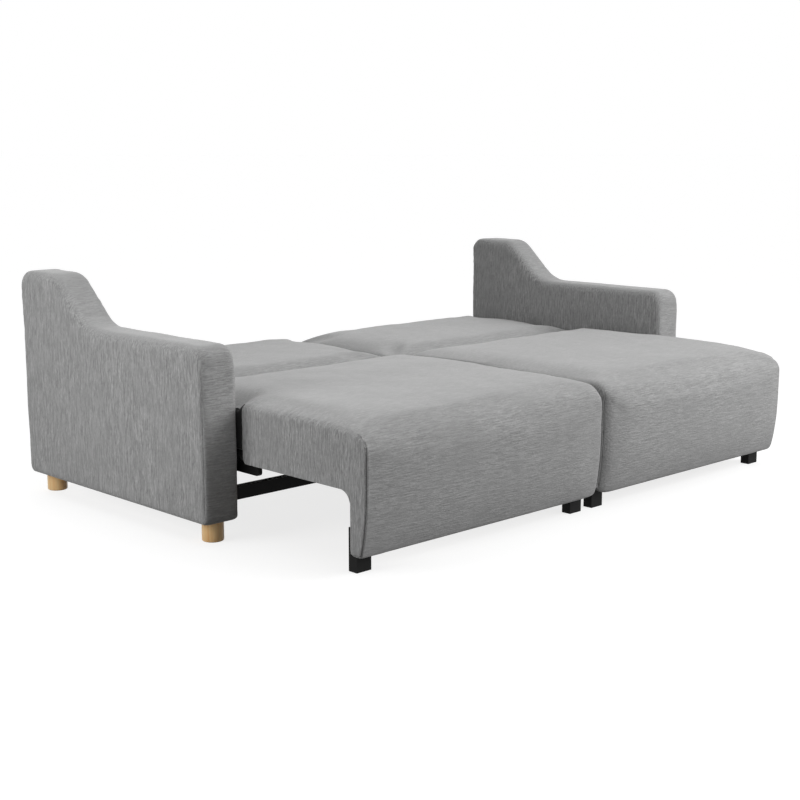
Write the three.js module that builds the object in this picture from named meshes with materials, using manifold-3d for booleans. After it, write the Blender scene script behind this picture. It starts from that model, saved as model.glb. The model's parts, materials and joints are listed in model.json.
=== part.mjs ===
// A two-seat sleeper sofa, shown pulled out as a bed.
// Each seat slides out on rollers between the arms, and its back lies down behind it.
// Units are millimetres. X runs along the sofa, Y from the front to the back, Z up.
// The sizes below are taken from the front plane of the arms, at Y = 0, and from the floor.
import * as THREE from 'three';
import { mergeVertices } from 'three/addons/utils/BufferGeometryUtils.js';
import Module from 'manifold-3d';

const wasm = await Module();
wasm.setup();

// Clearances
const seatGap = 0.3;
const cutOverrun = 20;

// Whole sofa
const overallWidth = 2300;
const pullOut = 535;

// Arms
const armThickness = 128;
const armDepth = 985;
const armBackLean = 8;
const armRestHeight = 587;
const wingHeight = 745;
const armUnderside = 65;
const armFrontRadius = 50;
const armBackRadius = 42;
const wingTopLength = 94;
const wingFootRadius = 150;
const wingShoulderRadius = 115;
const wingSlope = THREE.MathUtils.degToRad(42);
const armEdgeRadius = 20;
const wingArcShare = 0.9;
const armPadding = 30;
const armFrameRailWidth = 60;

// Wooden feet
const woodFootRadius = 33;
const woodFootChamfer = 3;
const woodFootFromOuter = 76;
const woodFootFromFront = 66;
const woodFootFromBack = 41;

// Crossbars, centre rail and what stands on them
const crossbarHeight = 40;
const crossbarTop = 148;
const crossbarWall = 2.5;
const frontCrossbarY = 60;
const frontCrossbarDepth = 25;
const rearCrossbarFromBack = 40;
const rearCrossbarDepth = 30;
const endPlateThickness = 4;
const endPlateMargin = 15;
const centreLegWidth = 40;
const centreRailFlangeWidth = 60;
const restPostWidth = 30;
const restPostFromCentre = 300;
const restPadThickness = 6;

// Seat and back modules
const armClearance = 11;
const centreGap = 16;
const seamY = 405;
const seatTop = 425;
const padInset = 2;
const padEdgeRadius = 24;
const padCrown = 9;
const padDrawIn = 5;
const frontRollRadius = 62;
const backEndRadius = 46;
const backFrontRadius = 30;
const hingeDepth = 90;
const backClearance = 4;

// Front panel, board and side panels
const panelBottom = 57;
const panelThickness = 39;
const panelEdgeRadius = 10;
const frontBulge = 12;
const boardThickness = 18;
const boardInset = 10;
const sidePanelThickness = 20;
const sidePanelBottom = 235;
const sidePanelRearY = -10;
const notchRadius = 40;
const sidePanelRearRadius = 18;

// Frames and decks
const tubeSize = 25;
const tubeWall = 2.5;
const seatCrossTubes = 3;
const backCrossTubes = 2;
const deckThickness = 12;
const backDeckThickness = 10;
const backTubeHeight = 20;
const frameRearSetback = 10;
const outriggerLength = 110;
const outriggerThickness = 6;
const frontOutriggerY = 20;

// Hinges
const hingePlateThickness = 4;
const earThickness = 3;
const hingeSideGap = 0.7;
const hingeBossRadius = 16;
const hingePinRadius = 5;
const hingeHeadRadius = 9;
const hingeHeadThickness = 1.2;
const hingePlateReach = 150;

// Legs of the seats
const legWidth = 54;
const legDepth = 33;
const legHeight = 125;
const legWall = 3;
const legInset = 19;

// Slide rails and rollers
const rollerRadius = 14;
const rollerWidth = 9;
const rollerChamfer = 1;
const rollerBoreClearance = 0.25;
const rollerSideGap = 0.8;
const rollerFromSeam = 30;
const axleRadius = 4;
const axleHeadRadius = 7;
const axleHeadThickness = 1;
const movingRailThickness = 14;
const movingRailHeight = 30;
const movingRailFromEdge = 5;
const movingRailFrontY = -70;
const movingRailEndRadius = 10;
const railFlange = 2.5;
const railWeb = 3;
const railSideGap = 1.5;
const fixedRailFrontY = 58;
const fixedRailRearGap = 10;
const rearStopFromEnd = 15;
const stopLength = 8;
const stopClearance = 3;
const glideLength = 40;
const glideHeight = 13;

// Mesh finenesses, in counts
const roundSegments = 20;
const arcSegments = 3;
const padRows = 9;
const padSteps = 8;
const panelRows = 5;
const bevelSegments = 3;

// Places worked out from the sizes above
const innerHalfWidth = overallWidth / 2 - armThickness;
const rearCrossbarY = armDepth - rearCrossbarFromBack - rearCrossbarDepth;
const fixedRailRearY = rearCrossbarY - fixedRailRearGap;
const backEndY = armDepth;
const moduleWidth = innerHalfWidth - armClearance - centreGap / 2;
const moduleCentreX = (centreGap + moduleWidth) / 2;
const moduleHalf = moduleWidth / 2;
const padHalf = moduleHalf - padInset;
const frontY = -pullOut;
const panelBackY = frontY + panelThickness;
const boardBackY = panelBackY + seatGap + boardThickness;
const hingeY = seamY - hingeDepth;
const hingeZ = seatTop - hingeDepth;
const backStartY = seamY + backClearance;
const tubeBottom = sidePanelBottom + seatGap;
const deckBottom = tubeBottom + tubeSize + seatGap;
const deckTop = deckBottom + deckThickness;
const padBottom = deckTop + seatGap;
const backTubeBottom = tubeBottom + backTubeHeight;
const backDeckBottom = backTubeBottom + backTubeHeight + seatGap;
const backDeckTop = backDeckBottom + backDeckThickness;
const backPadBottom = backDeckTop + seatGap;
const frameRearY = seamY - frameRearSetback;
const earInner = moduleHalf - padInset + hingeHeadThickness + 2 * seatGap;
const earOuter = earInner + earThickness;
const plateInner = earOuter + hingeSideGap;
const plateOuter = plateInner + hingePlateThickness;
const railOuter = moduleHalf - movingRailFromEdge;
const railInner = railOuter - movingRailThickness;
const railTop = sidePanelBottom - seatGap;
const railBottom = railTop - movingRailHeight;
const rollerY = seamY - rollerFromSeam;
const frontStopY = rollerY - rollerRadius - stopClearance;
const rearStopY = fixedRailRearY - rearStopFromEnd;
const rollerInner = railOuter + rollerSideGap;
const rollerOuter = rollerInner + rollerWidth;
const rollerZ = railTop - rollerRadius - railFlange - seatGap - stopClearance;
const trackBottom = rollerZ - rollerRadius - seatGap;
const trackTop = rollerZ + rollerRadius + seatGap;
const channelInner = railOuter + railSideGap;
const originY = (armDepth + armBackLean - pullOut - frontBulge) / 2;

// Colours and finishes
const looks = {
  fabric: { color: 0x8f8f8e, roughness: 0.95, metalness: 0 },
  blackSteel: { color: 0x161616, roughness: 0.5, metalness: 0.6 },
  lightWood: { color: 0xd9ac74, roughness: 0.55, metalness: 0 },
  plywood: { color: 0xc49a66, roughness: 0.8, metalness: 0 },
  nylon: { color: 0x2b2b2b, roughness: 0.45, metalness: 0 },
  zincSteel: { color: 0x9a9da0, roughness: 0.35, metalness: 0.9 },
};

const sofa = new THREE.Group();
sofa.position.y = -originY;

function place(parent, name, geometry, look, position = [0, 0, 0]) {
  const mesh = new THREE.Mesh(geometry, new THREE.MeshStandardMaterial(looks[look]));
  mesh.name = name;
  mesh.position.set(...position);
  parent.add(mesh);
  return mesh;
}

// Solids and booleans
function closed(geometry) {
  const bare = geometry.clone();
  bare.deleteAttribute('normal');
  bare.deleteAttribute('uv');
  return mergeVertices(bare);
}

function toManifold(geometry) {
  const merged = closed(geometry);
  const mesh = new wasm.Mesh({
    numProp: 3,
    vertProperties: new Float32Array(merged.attributes.position.array),
    triVerts: new Uint32Array(merged.index.array),
  });
  return new wasm.Manifold(mesh);
}

function toGeometry(manifold) {
  const mesh = manifold.getMesh();
  const geometry = new THREE.BufferGeometry();
  geometry.setAttribute('position', new THREE.BufferAttribute(new Float32Array(mesh.vertProperties), 3));
  geometry.setIndex(new THREE.BufferAttribute(new Uint32Array(mesh.triVerts), 1));
  geometry.computeVertexNormals();
  return geometry;
}

function combine(added, removed = []) {
  let solid = toManifold(added[0]);
  for (const piece of added.slice(1)) {
    solid = solid.add(toManifold(piece));
  }
  for (const piece of removed) {
    solid = solid.subtract(toManifold(piece));
  }
  return toGeometry(solid);
}

function block(x0, x1, y0, y1, z0, z1) {
  const geometry = new THREE.BoxGeometry(Math.abs(x1 - x0), Math.abs(y1 - y0), Math.abs(z1 - z0));
  geometry.translate((x0 + x1) / 2, (y0 + y1) / 2, (z0 + z1) / 2);
  return geometry;
}

function rodAlongX(radius, x0, x1, y, z) {
  const geometry = new THREE.CylinderGeometry(radius, radius, Math.abs(x1 - x0), roundSegments);
  geometry.rotateZ(Math.PI / 2);
  geometry.translate((x0 + x1) / 2, y, z);
  return geometry;
}

function discOnZ(radius, z0, z1, x, y) {
  const geometry = new THREE.CylinderGeometry(radius, radius, z1 - z0, roundSegments);
  geometry.rotateX(Math.PI / 2);
  geometry.translate(x, y, (z0 + z1) / 2);
  return geometry;
}

// A shape drawn in Y and Z, extruded along X between x0 and x1, with its long edges rounded.
function extrudeAlongX(shape, x0, x1, edgeRadius = 0, steps = 1) {
  const rounded = edgeRadius > 0;
  const geometry = new THREE.ExtrudeGeometry(shape, {
    depth: Math.abs(x1 - x0) - 2 * edgeRadius,
    steps,
    curveSegments: arcSegments,
    bevelEnabled: rounded,
    bevelSize: edgeRadius,
    bevelThickness: edgeRadius,
    bevelOffset: -edgeRadius,
    bevelSegments,
  });
  const axes = new THREE.Matrix4().makeBasis(
    new THREE.Vector3(0, 1, 0),
    new THREE.Vector3(0, 0, 1),
    new THREE.Vector3(1, 0, 0),
  );
  geometry.applyMatrix4(axes);
  geometry.translate(Math.min(x0, x1) + edgeRadius, 0, 0);
  return geometry;
}

// A shape drawn in X and Z, extruded along Y from y0 to y1.
function extrudeAlongY(shape, y0, y1) {
  const geometry = new THREE.ExtrudeGeometry(shape, {
    depth: y1 - y0,
    curveSegments: arcSegments,
    bevelEnabled: false,
  });
  geometry.rotateX(Math.PI / 2);
  geometry.translate(0, y1, 0);
  return geometry;
}

function polygon(points) {
  return new THREE.Shape(points.map(([a, b]) => new THREE.Vector2(a, b)));
}

// Adds an arc about a centre, from one angle to another, turning the short way that they give.
function addArc(shape, y, z, radius, start, end) {
  shape.absarc(y, z, radius, start, end, end < start);
}

// Moves each vertex of a closed geometry by a function of its place.
function reshape(geometry, moveVertex) {
  const soft = closed(geometry);
  const position = soft.attributes.position;
  const point = new THREE.Vector3();
  for (let i = 0; i < position.count; i += 1) {
    point.fromBufferAttribute(position, i);
    moveVertex(point);
    position.setXYZ(i, point.x, point.y, point.z);
  }
  soft.computeVertexNormals();
  return soft;
}

// Arms: a padded cover over a timber frame, with a raised wing at the back.
// The wing's two arcs take up less than its whole rise, so that a straight slope is left between them.
function armOutline(inset, bottom) {
  const arcRise = (1 - Math.cos(wingSlope)) * (wingFootRadius + wingShoulderRadius);
  const arcScale = Math.min(1, wingArcShare * (wingHeight - armRestHeight) / arcRise);
  const footRadius = wingFootRadius * arcScale;
  const shoulderRadius = wingShoulderRadius * arcScale;
  const shoulderZ = wingHeight - shoulderRadius;
  const footZ = armRestHeight + footRadius;
  const rise = Math.cos(wingSlope) * (shoulderZ - footZ) + shoulderRadius + footRadius;
  const backTopY = armDepth + armBackLean;
  const backCentreY = backTopY - armBackRadius;
  const shoulderY = backCentreY - wingTopLength;
  const footY = shoulderY - rise / Math.sin(wingSlope);
  const shape = new THREE.Shape();
  shape.moveTo(inset, bottom);
  shape.lineTo(inset, armRestHeight - armFrontRadius);
  const up = Math.PI / 2;
  addArc(shape, armFrontRadius, armRestHeight - armFrontRadius, armFrontRadius - inset, Math.PI, up);
  addArc(shape, footY, footZ, footRadius + inset, -up, wingSlope - up);
  addArc(shape, shoulderY, shoulderZ, shoulderRadius - inset, wingSlope + up, up);
  addArc(shape, backCentreY, wingHeight - armBackRadius, armBackRadius - inset, up, 0);
  shape.lineTo(armDepth - inset, bottom);
  shape.closePath();
  return shape;
}

function armCover() {
  const half = armThickness / 2;
  const hollowHalf = half - armPadding + seatGap;
  const lowered = armUnderside - armEdgeRadius;
  const outside = extrudeAlongX(armOutline(0, lowered), -half, half, armEdgeRadius);
  const hollowOutline = armOutline(armPadding - seatGap, lowered - cutOverrun);
  const hollow = extrudeAlongX(hollowOutline, -hollowHalf, hollowHalf);
  const below = block(
    -half - cutOverrun, half + cutOverrun,
    -cutOverrun, armDepth + cutOverrun,
    lowered - 2 * cutOverrun, armUnderside,
  );
  return combine([outside], [hollow, below]);
}

// A timber frame with two windows under the arm rest and a rail between them
function armFrame() {
  const frameHalf = armThickness / 2 - armPadding;
  const frame = extrudeAlongX(armOutline(armPadding, armUnderside), -frameHalf, frameHalf);
  const rail = armFrameRailWidth;
  const middleY = armDepth / 2;
  const low = armUnderside + rail;
  const high = armRestHeight - armPadding - rail;
  const windows = [
    [armPadding + rail, middleY - rail / 2],
    [middleY + rail / 2, armDepth - armPadding - rail],
  ].map(([y0, y1]) => block(-frameHalf - cutOverrun, frameHalf + cutOverrun, y0, y1, low, high));
  return combine([frame], windows);
}

function woodFoot() {
  const top = armUnderside - seatGap;
  const profile = [
    [0, 0],
    [woodFootRadius - woodFootChamfer, 0],
    [woodFootRadius, woodFootChamfer],
    [woodFootRadius, top],
    [0, top],
  ];
  const geometry = new THREE.LatheGeometry(profile.map(([r, z]) => new THREE.Vector2(r, z)), roundSegments);
  geometry.rotateX(Math.PI / 2);
  return closed(geometry);
}

function addArm(side, name) {
  const arm = new THREE.Group();
  arm.position.x = side * (overallWidth - armThickness) / 2;
  sofa.add(arm);
  const footX = side * (armThickness / 2 - woodFootFromOuter);
  place(arm, `${name}_arm_cover`, armCover(), 'fabric');
  place(arm, `${name}_arm_frame`, armFrame(), 'plywood');
  place(arm, `${name}_front_wood_foot`, woodFoot(), 'lightWood', [footX, woodFootFromFront, 0]);
  place(arm, `${name}_rear_wood_foot`, woodFoot(), 'lightWood', [footX, armDepth - woodFootFromBack, 0]);
}

// Fixed steel base between the arms
function crossbar(y0, depth) {
  const end = innerHalfWidth - seatGap;
  const bottom = crossbarTop - crossbarHeight;
  const wall = crossbarWall;
  const bar = block(-end, end, y0, y0 + depth, bottom, crossbarTop);
  const plates = [-end, end - endPlateThickness].map((x) => block(
    x, x + endPlateThickness,
    y0 - endPlateMargin, y0 + depth + endPlateMargin,
    bottom - endPlateMargin, crossbarTop + endPlateMargin,
  ));
  const inside = block(
    endPlateThickness - end, end - endPlateThickness,
    y0 + wall, y0 + depth - wall,
    bottom - cutOverrun, crossbarTop - wall,
  );
  return combine([bar, ...plates], [inside]);
}

function centreRail() {
  const base = crossbarTop + seatGap;
  const webHalf = railWeb / 2;
  const flangeHalf = centreGap / 2 + movingRailFromEdge - railSideGap;
  const top = trackTop + railFlange;
  const shape = polygon([
    [-centreRailFlangeWidth / 2, base],
    [centreRailFlangeWidth / 2, base],
    [centreRailFlangeWidth / 2, base + railWeb],
    [webHalf, base + railWeb],
    [webHalf, trackBottom - railFlange],
    [flangeHalf, trackBottom - railFlange],
    [flangeHalf, trackBottom],
    [webHalf, trackBottom],
    [webHalf, trackTop],
    [flangeHalf, trackTop],
    [flangeHalf, top],
    [-flangeHalf, top],
    [-flangeHalf, trackTop],
    [-webHalf, trackTop],
    [-webHalf, trackBottom],
    [-flangeHalf, trackBottom],
    [-flangeHalf, trackBottom - railFlange],
    [-webHalf, trackBottom - railFlange],
    [-webHalf, base + railWeb],
    [-centreRailFlangeWidth / 2, base + railWeb],
  ]);
  const beam = extrudeAlongY(shape, frontCrossbarY, rearCrossbarY + rearCrossbarDepth);
  return combine([beam, ...stopBlocks(-flangeHalf, flangeHalf)]);
}

// Stops at both ends of the slide: the rollers come to 3 mm from them, 490 mm of travel apart
function stopBlocks(x0, x1) {
  return [
    block(x0, x1, frontStopY - stopLength, frontStopY, trackBottom, trackTop),
    block(x0, x1, rearStopY - stopLength, rearStopY, trackBottom, trackTop),
  ];
}

function fixedRail(side) {
  const web = innerHalfWidth - seatGap;
  const mouth = moduleCentreX + channelInner;
  const bottom = trackBottom - railFlange;
  const top = trackTop + railFlange;
  const body = block(side * mouth, side * web, fixedRailFrontY, fixedRailRearY, bottom, top);
  const track = block(
    side * (mouth - cutOverrun), side * (web - railWeb),
    fixedRailFrontY - cutOverrun, fixedRailRearY + cutOverrun,
    trackBottom, trackTop,
  );
  const channel = combine([body], [track]);
  return combine([channel, ...stopBlocks(side * mouth, side * (web - railWeb))]);
}

// Nylon blocks that the moving rails run on at the front
function outerGlide(side) {
  const web = side * (innerHalfWidth - seatGap);
  const inner = side * (moduleCentreX + railInner);
  const step = side * (moduleCentreX + channelInner - railSideGap);
  const top = railBottom - seatGap;
  const ledge = trackBottom - railFlange - seatGap;
  const points = [
    [web, ledge - glideHeight],
    [inner, ledge - glideHeight],
    [inner, top],
    [step, top],
    [step, ledge],
    [web, ledge],
  ];
  const outline = side > 0 ? points.reverse() : points;
  return closed(extrudeAlongY(polygon(outline), frontCrossbarY, frontCrossbarY + glideLength));
}

function innerGlide(side) {
  const outer = side * centreRailFlangeWidth / 2;
  const inner = side * (centreGap / 2 + movingRailFromEdge + railSideGap);
  const bottom = crossbarTop + 2 * seatGap + railWeb;
  return closed(block(
    inner, outer,
    frontCrossbarY, frontCrossbarY + glideLength,
    bottom, railBottom - seatGap,
  ));
}

function centreLeg(y0, depth) {
  const half = centreLegWidth / 2;
  const top = crossbarTop - crossbarHeight - seatGap;
  return closed(block(-half, half, y0, y0 + depth, 0, top));
}

function restPost() {
  const half = restPostWidth / 2;
  const rearY = rearCrossbarY + rearCrossbarDepth;
  const top = backTubeBottom - seatGap;
  const capBottom = top - restPadThickness;
  const post = block(-half, half, rearCrossbarY, rearY, crossbarTop + seatGap, capBottom);
  const cap = discOnZ(half, capBottom, top, 0, (rearCrossbarY + rearY) / 2);
  return combine([post, cap]);
}

function addBase() {
  place(sofa, 'front_crossbar', crossbar(frontCrossbarY, frontCrossbarDepth), 'blackSteel');
  place(sofa, 'rear_crossbar', crossbar(rearCrossbarY, rearCrossbarDepth), 'blackSteel');
  place(sofa, 'centre_rail', centreRail(), 'blackSteel');
  place(sofa, 'centre_front_leg', centreLeg(frontCrossbarY, frontCrossbarDepth), 'blackSteel');
  place(sofa, 'centre_rear_leg', centreLeg(rearCrossbarY, rearCrossbarDepth), 'blackSteel');
  for (const [side, name] of [[-1, 'left'], [1, 'right']]) {
    place(sofa, `${name}_fixed_rail`, fixedRail(side), 'blackSteel');
    place(sofa, `${name}_outer_rail_glide`, outerGlide(side), 'nylon');
    place(sofa, `${name}_inner_rail_glide`, innerGlide(side), 'nylon');
    const outerX = side * (moduleCentreX + restPostFromCentre);
    const innerX = side * (moduleCentreX - restPostFromCentre);
    place(sofa, `${name}_outer_back_rest`, restPost(), 'blackSteel', [outerX, 0, 0]);
    place(sofa, `${name}_inner_back_rest`, restPost(), 'blackSteel', [innerX, 0, 0]);
  }
}

// Soft forms of the seats and backs
function across(x) {
  return Math.max(0, 1 - (x / moduleHalf) ** 2);
}

// How far the front face swells at a place, from nothing at its ends and its lower edge
function frontSwell(x, z) {
  const middle = (seatTop + panelBottom) / 2;
  const half = (seatTop - panelBottom) / 2;
  return frontBulge * across(x) * Math.max(0, 1 - ((z - middle) / half) ** 2);
}

function swellPad(bottom, y0, y1, frontFace) {
  const middleY = (y0 + y1) / 2;
  const halfLength = (y1 - y0) / 2;
  const height = seatTop - bottom;
  return (point) => {
    const along = Math.max(0, 1 - ((point.y - middleY) / halfLength) ** 2);
    const level = (point.z - bottom) / height;
    const frontShare = frontFace ? Math.max(0, 1 - (point.y - y0) / frontRollRadius) : 0;
    point.y -= frontShare * frontSwell(point.x, point.z);
    point.x -= Math.sign(point.x) * padDrawIn * along * 4 * level * (1 - level) * (point.x / padHalf) ** 2;
    point.z += padCrown * level * along * across(point.x);
  };
}

function seatPad() {
  const topFront = frontY + frontRollRadius;
  const topRear = seamY - hingeDepth;
  const shape = new THREE.Shape();
  shape.moveTo(frontY, padBottom);
  shape.lineTo(frontY, seatTop - frontRollRadius);
  addArc(shape, topFront, seatTop - frontRollRadius, frontRollRadius, Math.PI, Math.PI / 2);
  for (let row = 1; row < padRows; row += 1) {
    shape.lineTo(topFront + (topRear - topFront) * row / padRows, seatTop);
  }
  addArc(shape, topRear, hingeZ, hingeDepth, Math.PI / 2, 0);
  shape.lineTo(seamY, padBottom);
  shape.closePath();
  const slab = extrudeAlongX(shape, -padHalf, padHalf, padEdgeRadius, padSteps);
  return reshape(slab, swellPad(padBottom, frontY, seamY, true));
}

function backPad() {
  const topFront = backStartY + backFrontRadius;
  const topRear = backEndY - backEndRadius;
  const shape = new THREE.Shape();
  shape.moveTo(backStartY, backPadBottom);
  shape.lineTo(backStartY, seatTop - backFrontRadius);
  addArc(shape, topFront, seatTop - backFrontRadius, backFrontRadius, Math.PI, Math.PI / 2);
  for (let row = 1; row < padRows; row += 1) {
    shape.lineTo(topFront + (topRear - topFront) * row / padRows, seatTop);
  }
  addArc(shape, topRear, seatTop - backEndRadius, backEndRadius, Math.PI / 2, 0);
  shape.lineTo(backEndY, backPadBottom);
  shape.closePath();
  const slab = extrudeAlongX(shape, -padHalf, padHalf, padEdgeRadius, padSteps);
  return reshape(slab, swellPad(backPadBottom, backStartY, backEndY, false));
}

function frontPanel() {
  const top = padBottom - seatGap;
  const low = panelBottom + panelEdgeRadius;
  const shape = new THREE.Shape();
  shape.moveTo(panelBackY, panelBottom);
  shape.lineTo(frontY + panelEdgeRadius, panelBottom);
  addArc(shape, frontY + panelEdgeRadius, low, panelEdgeRadius, -Math.PI / 2, -Math.PI);
  for (let row = 1; row < panelRows; row += 1) {
    shape.lineTo(frontY, low + (top - low) * row / panelRows);
  }
  shape.lineTo(frontY, top);
  shape.lineTo(panelBackY, top);
  shape.closePath();
  const slab = extrudeAlongX(shape, -moduleHalf, moduleHalf, 0, padSteps);
  return reshape(slab, (point) => {
    const frontShare = Math.max(0, (panelBackY - point.y) / panelThickness);
    point.y -= frontShare * frontSwell(point.x, point.z);
  });
}

function frontBoard() {
  return closed(block(
    boardInset - moduleHalf, moduleHalf - boardInset,
    panelBackY + seatGap, boardBackY,
    panelBottom + boardInset, padBottom - seatGap,
  ));
}

// An upholstered side strip with a rounded notch where it meets the front panel
function sidePanel(side) {
  const top = padBottom - seatGap;
  const startY = boardBackY + seatGap;
  const notchBottom = sidePanelBottom - notchRadius;
  const shape = new THREE.Shape();
  shape.moveTo(startY, top);
  shape.lineTo(startY, notchBottom);
  const rearCentreY = sidePanelRearY - sidePanelRearRadius;
  addArc(shape, startY + notchRadius, notchBottom, notchRadius, Math.PI, Math.PI / 2);
  addArc(shape, rearCentreY, sidePanelBottom + sidePanelRearRadius, sidePanelRearRadius, -Math.PI / 2, 0);
  shape.lineTo(sidePanelRearY, top);
  shape.closePath();
  return closed(extrudeAlongX(shape, side * (moduleHalf - sidePanelThickness), side * moduleHalf));
}

// A ladder of channels open at the bottom, with evenly spaced cross tubes
function ladder(halfWidth, y0, y1, bottom, height, crossTubes) {
  const top = bottom + height;
  const bars = [
    [-halfWidth, tubeSize - halfWidth, y0, y1],
    [halfWidth - tubeSize, halfWidth, y0, y1],
  ];
  const pitch = (y1 - y0 - tubeSize) / (crossTubes + 1);
  for (let i = 0; i <= crossTubes + 1; i += 1) {
    bars.push([-halfWidth, halfWidth, y0 + i * pitch, y0 + i * pitch + tubeSize]);
  }
  const solids = bars.map(([a, b, c, d]) => block(a, b, c, d, bottom, top));
  const insides = bars.map(([a, b, c, d]) => block(
    a + tubeWall, b - tubeWall, c + tubeWall, d - tubeWall,
    bottom - cutOverrun, top - tubeWall,
  ));
  return combine(solids, insides);
}

function hingeHole(x0, x1) {
  return rodAlongX(hingePinRadius + seatGap, x0, x1, hingeY, hingeZ);
}

// A plate outline from a foot at one level to a round boss at the hinge
function bossPlate(y0, y1, bottom, top) {
  const shape = new THREE.Shape();
  shape.moveTo(y0, bottom);
  shape.lineTo(y1, bottom);
  shape.lineTo(y1, top);
  addArc(shape, hingeY, hingeZ, hingeBossRadius, Math.PI / 4, Math.PI);
  shape.lineTo(y0, top);
  shape.closePath();
  return shape;
}

function seatFrame() {
  const half = moduleHalf - sidePanelThickness - seatGap;
  const startY = boardBackY + seatGap;
  const base = ladder(half, startY, frameRearY, tubeBottom, tubeSize, seatCrossTubes);
  const added = [base];
  const holes = [];
  for (const side of [-1, 1]) {
    const rearOutriggerY = hingeY - outriggerLength / 2;
    for (const y of [frontOutriggerY, rearOutriggerY]) {
      added.push(block(
        side * (half - tubeWall), side * earOuter,
        y, y + outriggerLength,
        tubeBottom, tubeBottom + outriggerThickness,
      ));
    }
    const ear = bossPlate(
      rearOutriggerY, rearOutriggerY + outriggerLength,
      tubeBottom, tubeBottom + tubeSize,
    );
    added.push(extrudeAlongX(ear, side * earInner, side * earOuter));
    holes.push(hingeHole(side * (earInner - seatGap), side * (earOuter + seatGap)));
  }
  return combine(added, holes);
}

function seatDeck() {
  const half = moduleHalf - sidePanelThickness - seatGap;
  return closed(block(-half, half, boardBackY + seatGap, frameRearY, deckBottom, deckTop));
}

function seatLeg() {
  const half = legWidth / 2;
  const outside = block(-half, half, 0, legDepth, 0, legHeight);
  const inside = block(
    legWall - half, half - legWall,
    legWall, legDepth - legWall,
    legWall, legHeight + cutOverrun,
  );
  return combine([outside], [inside]);
}

// The seat's slide rail, with the stub axle of its roller and a rounded front end
function movingRail(side) {
  const shape = new THREE.Shape();
  shape.moveTo(movingRailFrontY, railTop);
  shape.lineTo(movingRailFrontY, railBottom + movingRailEndRadius);
  addArc(
    shape, movingRailFrontY + movingRailEndRadius, railBottom + movingRailEndRadius,
    movingRailEndRadius, Math.PI, 1.5 * Math.PI,
  );
  shape.lineTo(frameRearY, railBottom);
  shape.lineTo(frameRearY, railTop);
  shape.closePath();
  const bar = extrudeAlongX(shape, side * railInner, side * railOuter);
  const headStart = rollerOuter + seatGap;
  const axle = rodAlongX(axleRadius, side * (railOuter - seatGap), side * headStart, rollerY, rollerZ);
  const head = rodAlongX(
    axleHeadRadius, side * headStart, side * (headStart + axleHeadThickness), rollerY, rollerZ,
  );
  return combine([bar, axle, head]);
}

function roller() {
  const bore = axleRadius + rollerBoreClearance;
  const half = rollerWidth / 2;
  const profile = [
    [bore, -half],
    [rollerRadius - rollerChamfer, -half],
    [rollerRadius, rollerChamfer - half],
    [rollerRadius, half - rollerChamfer],
    [rollerRadius - rollerChamfer, half],
    [bore, half],
    [bore, -half],
  ];
  const geometry = new THREE.LatheGeometry(profile.map(([r, z]) => new THREE.Vector2(r, z)), roundSegments);
  geometry.rotateZ(Math.PI / 2);
  return closed(geometry);
}

function hingePin(side) {
  const headOuter = earInner - seatGap;
  const headInner = headOuter - hingeHeadThickness;
  const shank = rodAlongX(hingePinRadius, side * headOuter, side * plateOuter, hingeY, hingeZ);
  const head = rodAlongX(hingeHeadRadius, side * headInner, side * headOuter, hingeY, hingeZ);
  return combine([shank, head]);
}

function backFrame() {
  const half = plateInner;
  const endY = backEndY - frameRearSetback;
  const base = ladder(half, backStartY, endY, backTubeBottom, backTubeHeight, backCrossTubes);
  const added = [base];
  const holes = [];
  for (const side of [-1, 1]) {
    const top = backTubeBottom + backTubeHeight;
    const shape = new THREE.Shape();
    shape.moveTo(backStartY, backTubeBottom);
    shape.lineTo(backStartY + hingePlateReach, backTubeBottom);
    shape.lineTo(backStartY + hingePlateReach, top);
    addArc(shape, hingeY, hingeZ, hingeBossRadius, Math.PI / 4, 1.25 * Math.PI);
    shape.closePath();
    added.push(extrudeAlongX(shape, side * plateInner, side * plateOuter));
    holes.push(hingeHole(side * (plateInner - seatGap), side * (plateOuter + seatGap)));
  }
  return combine(added, holes);
}

function backDeck() {
  const half = padHalf - tubeSize;
  return closed(block(
    -half, half,
    backStartY + frameRearSetback, backEndY - frameRearSetback,
    backDeckBottom, backDeckTop,
  ));
}

function addSeat(side, name) {
  const module = new THREE.Group();
  module.position.x = side * moduleCentreX;
  sofa.add(module);
  place(module, `${name}_seat_pad`, seatPad(), 'fabric');
  place(module, `${name}_front_panel`, frontPanel(), 'fabric');
  place(module, `${name}_front_board`, frontBoard(), 'plywood');
  place(module, `${name}_seat_frame`, seatFrame(), 'blackSteel');
  place(module, `${name}_seat_deck`, seatDeck(), 'plywood');
  place(module, `${name}_back_pad`, backPad(), 'fabric');
  place(module, `${name}_back_frame`, backFrame(), 'blackSteel');
  place(module, `${name}_back_deck`, backDeck(), 'plywood');
  for (const [edge, edgeName] of [[side, 'outer'], [-side, 'inner']]) {
    const prefix = `${name}_${edgeName}`;
    const legX = edge * (moduleHalf - legInset - legWidth / 2);
    const rollerX = edge * (rollerInner + rollerOuter) / 2;
    place(module, `${prefix}_side_panel`, sidePanel(edge), 'fabric');
    place(module, `${prefix}_leg`, seatLeg(), 'blackSteel', [legX, boardBackY + seatGap, 0]);
    place(module, `${prefix}_moving_rail`, movingRail(edge), 'blackSteel');
    place(module, `${prefix}_roller`, roller(), 'nylon', [rollerX, rollerY, rollerZ]);
    place(module, `${prefix}_hinge_pin`, hingePin(edge), 'zincSteel');
  }
}

addArm(-1, 'left');
addArm(1, 'right');
addBase();
addSeat(-1, 'left');
addSeat(1, 'right');

export default sofa;
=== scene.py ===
"""A grey sleeper sofa, pulled out as a bed: upholstery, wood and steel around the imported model."""

import json
import math

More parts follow.
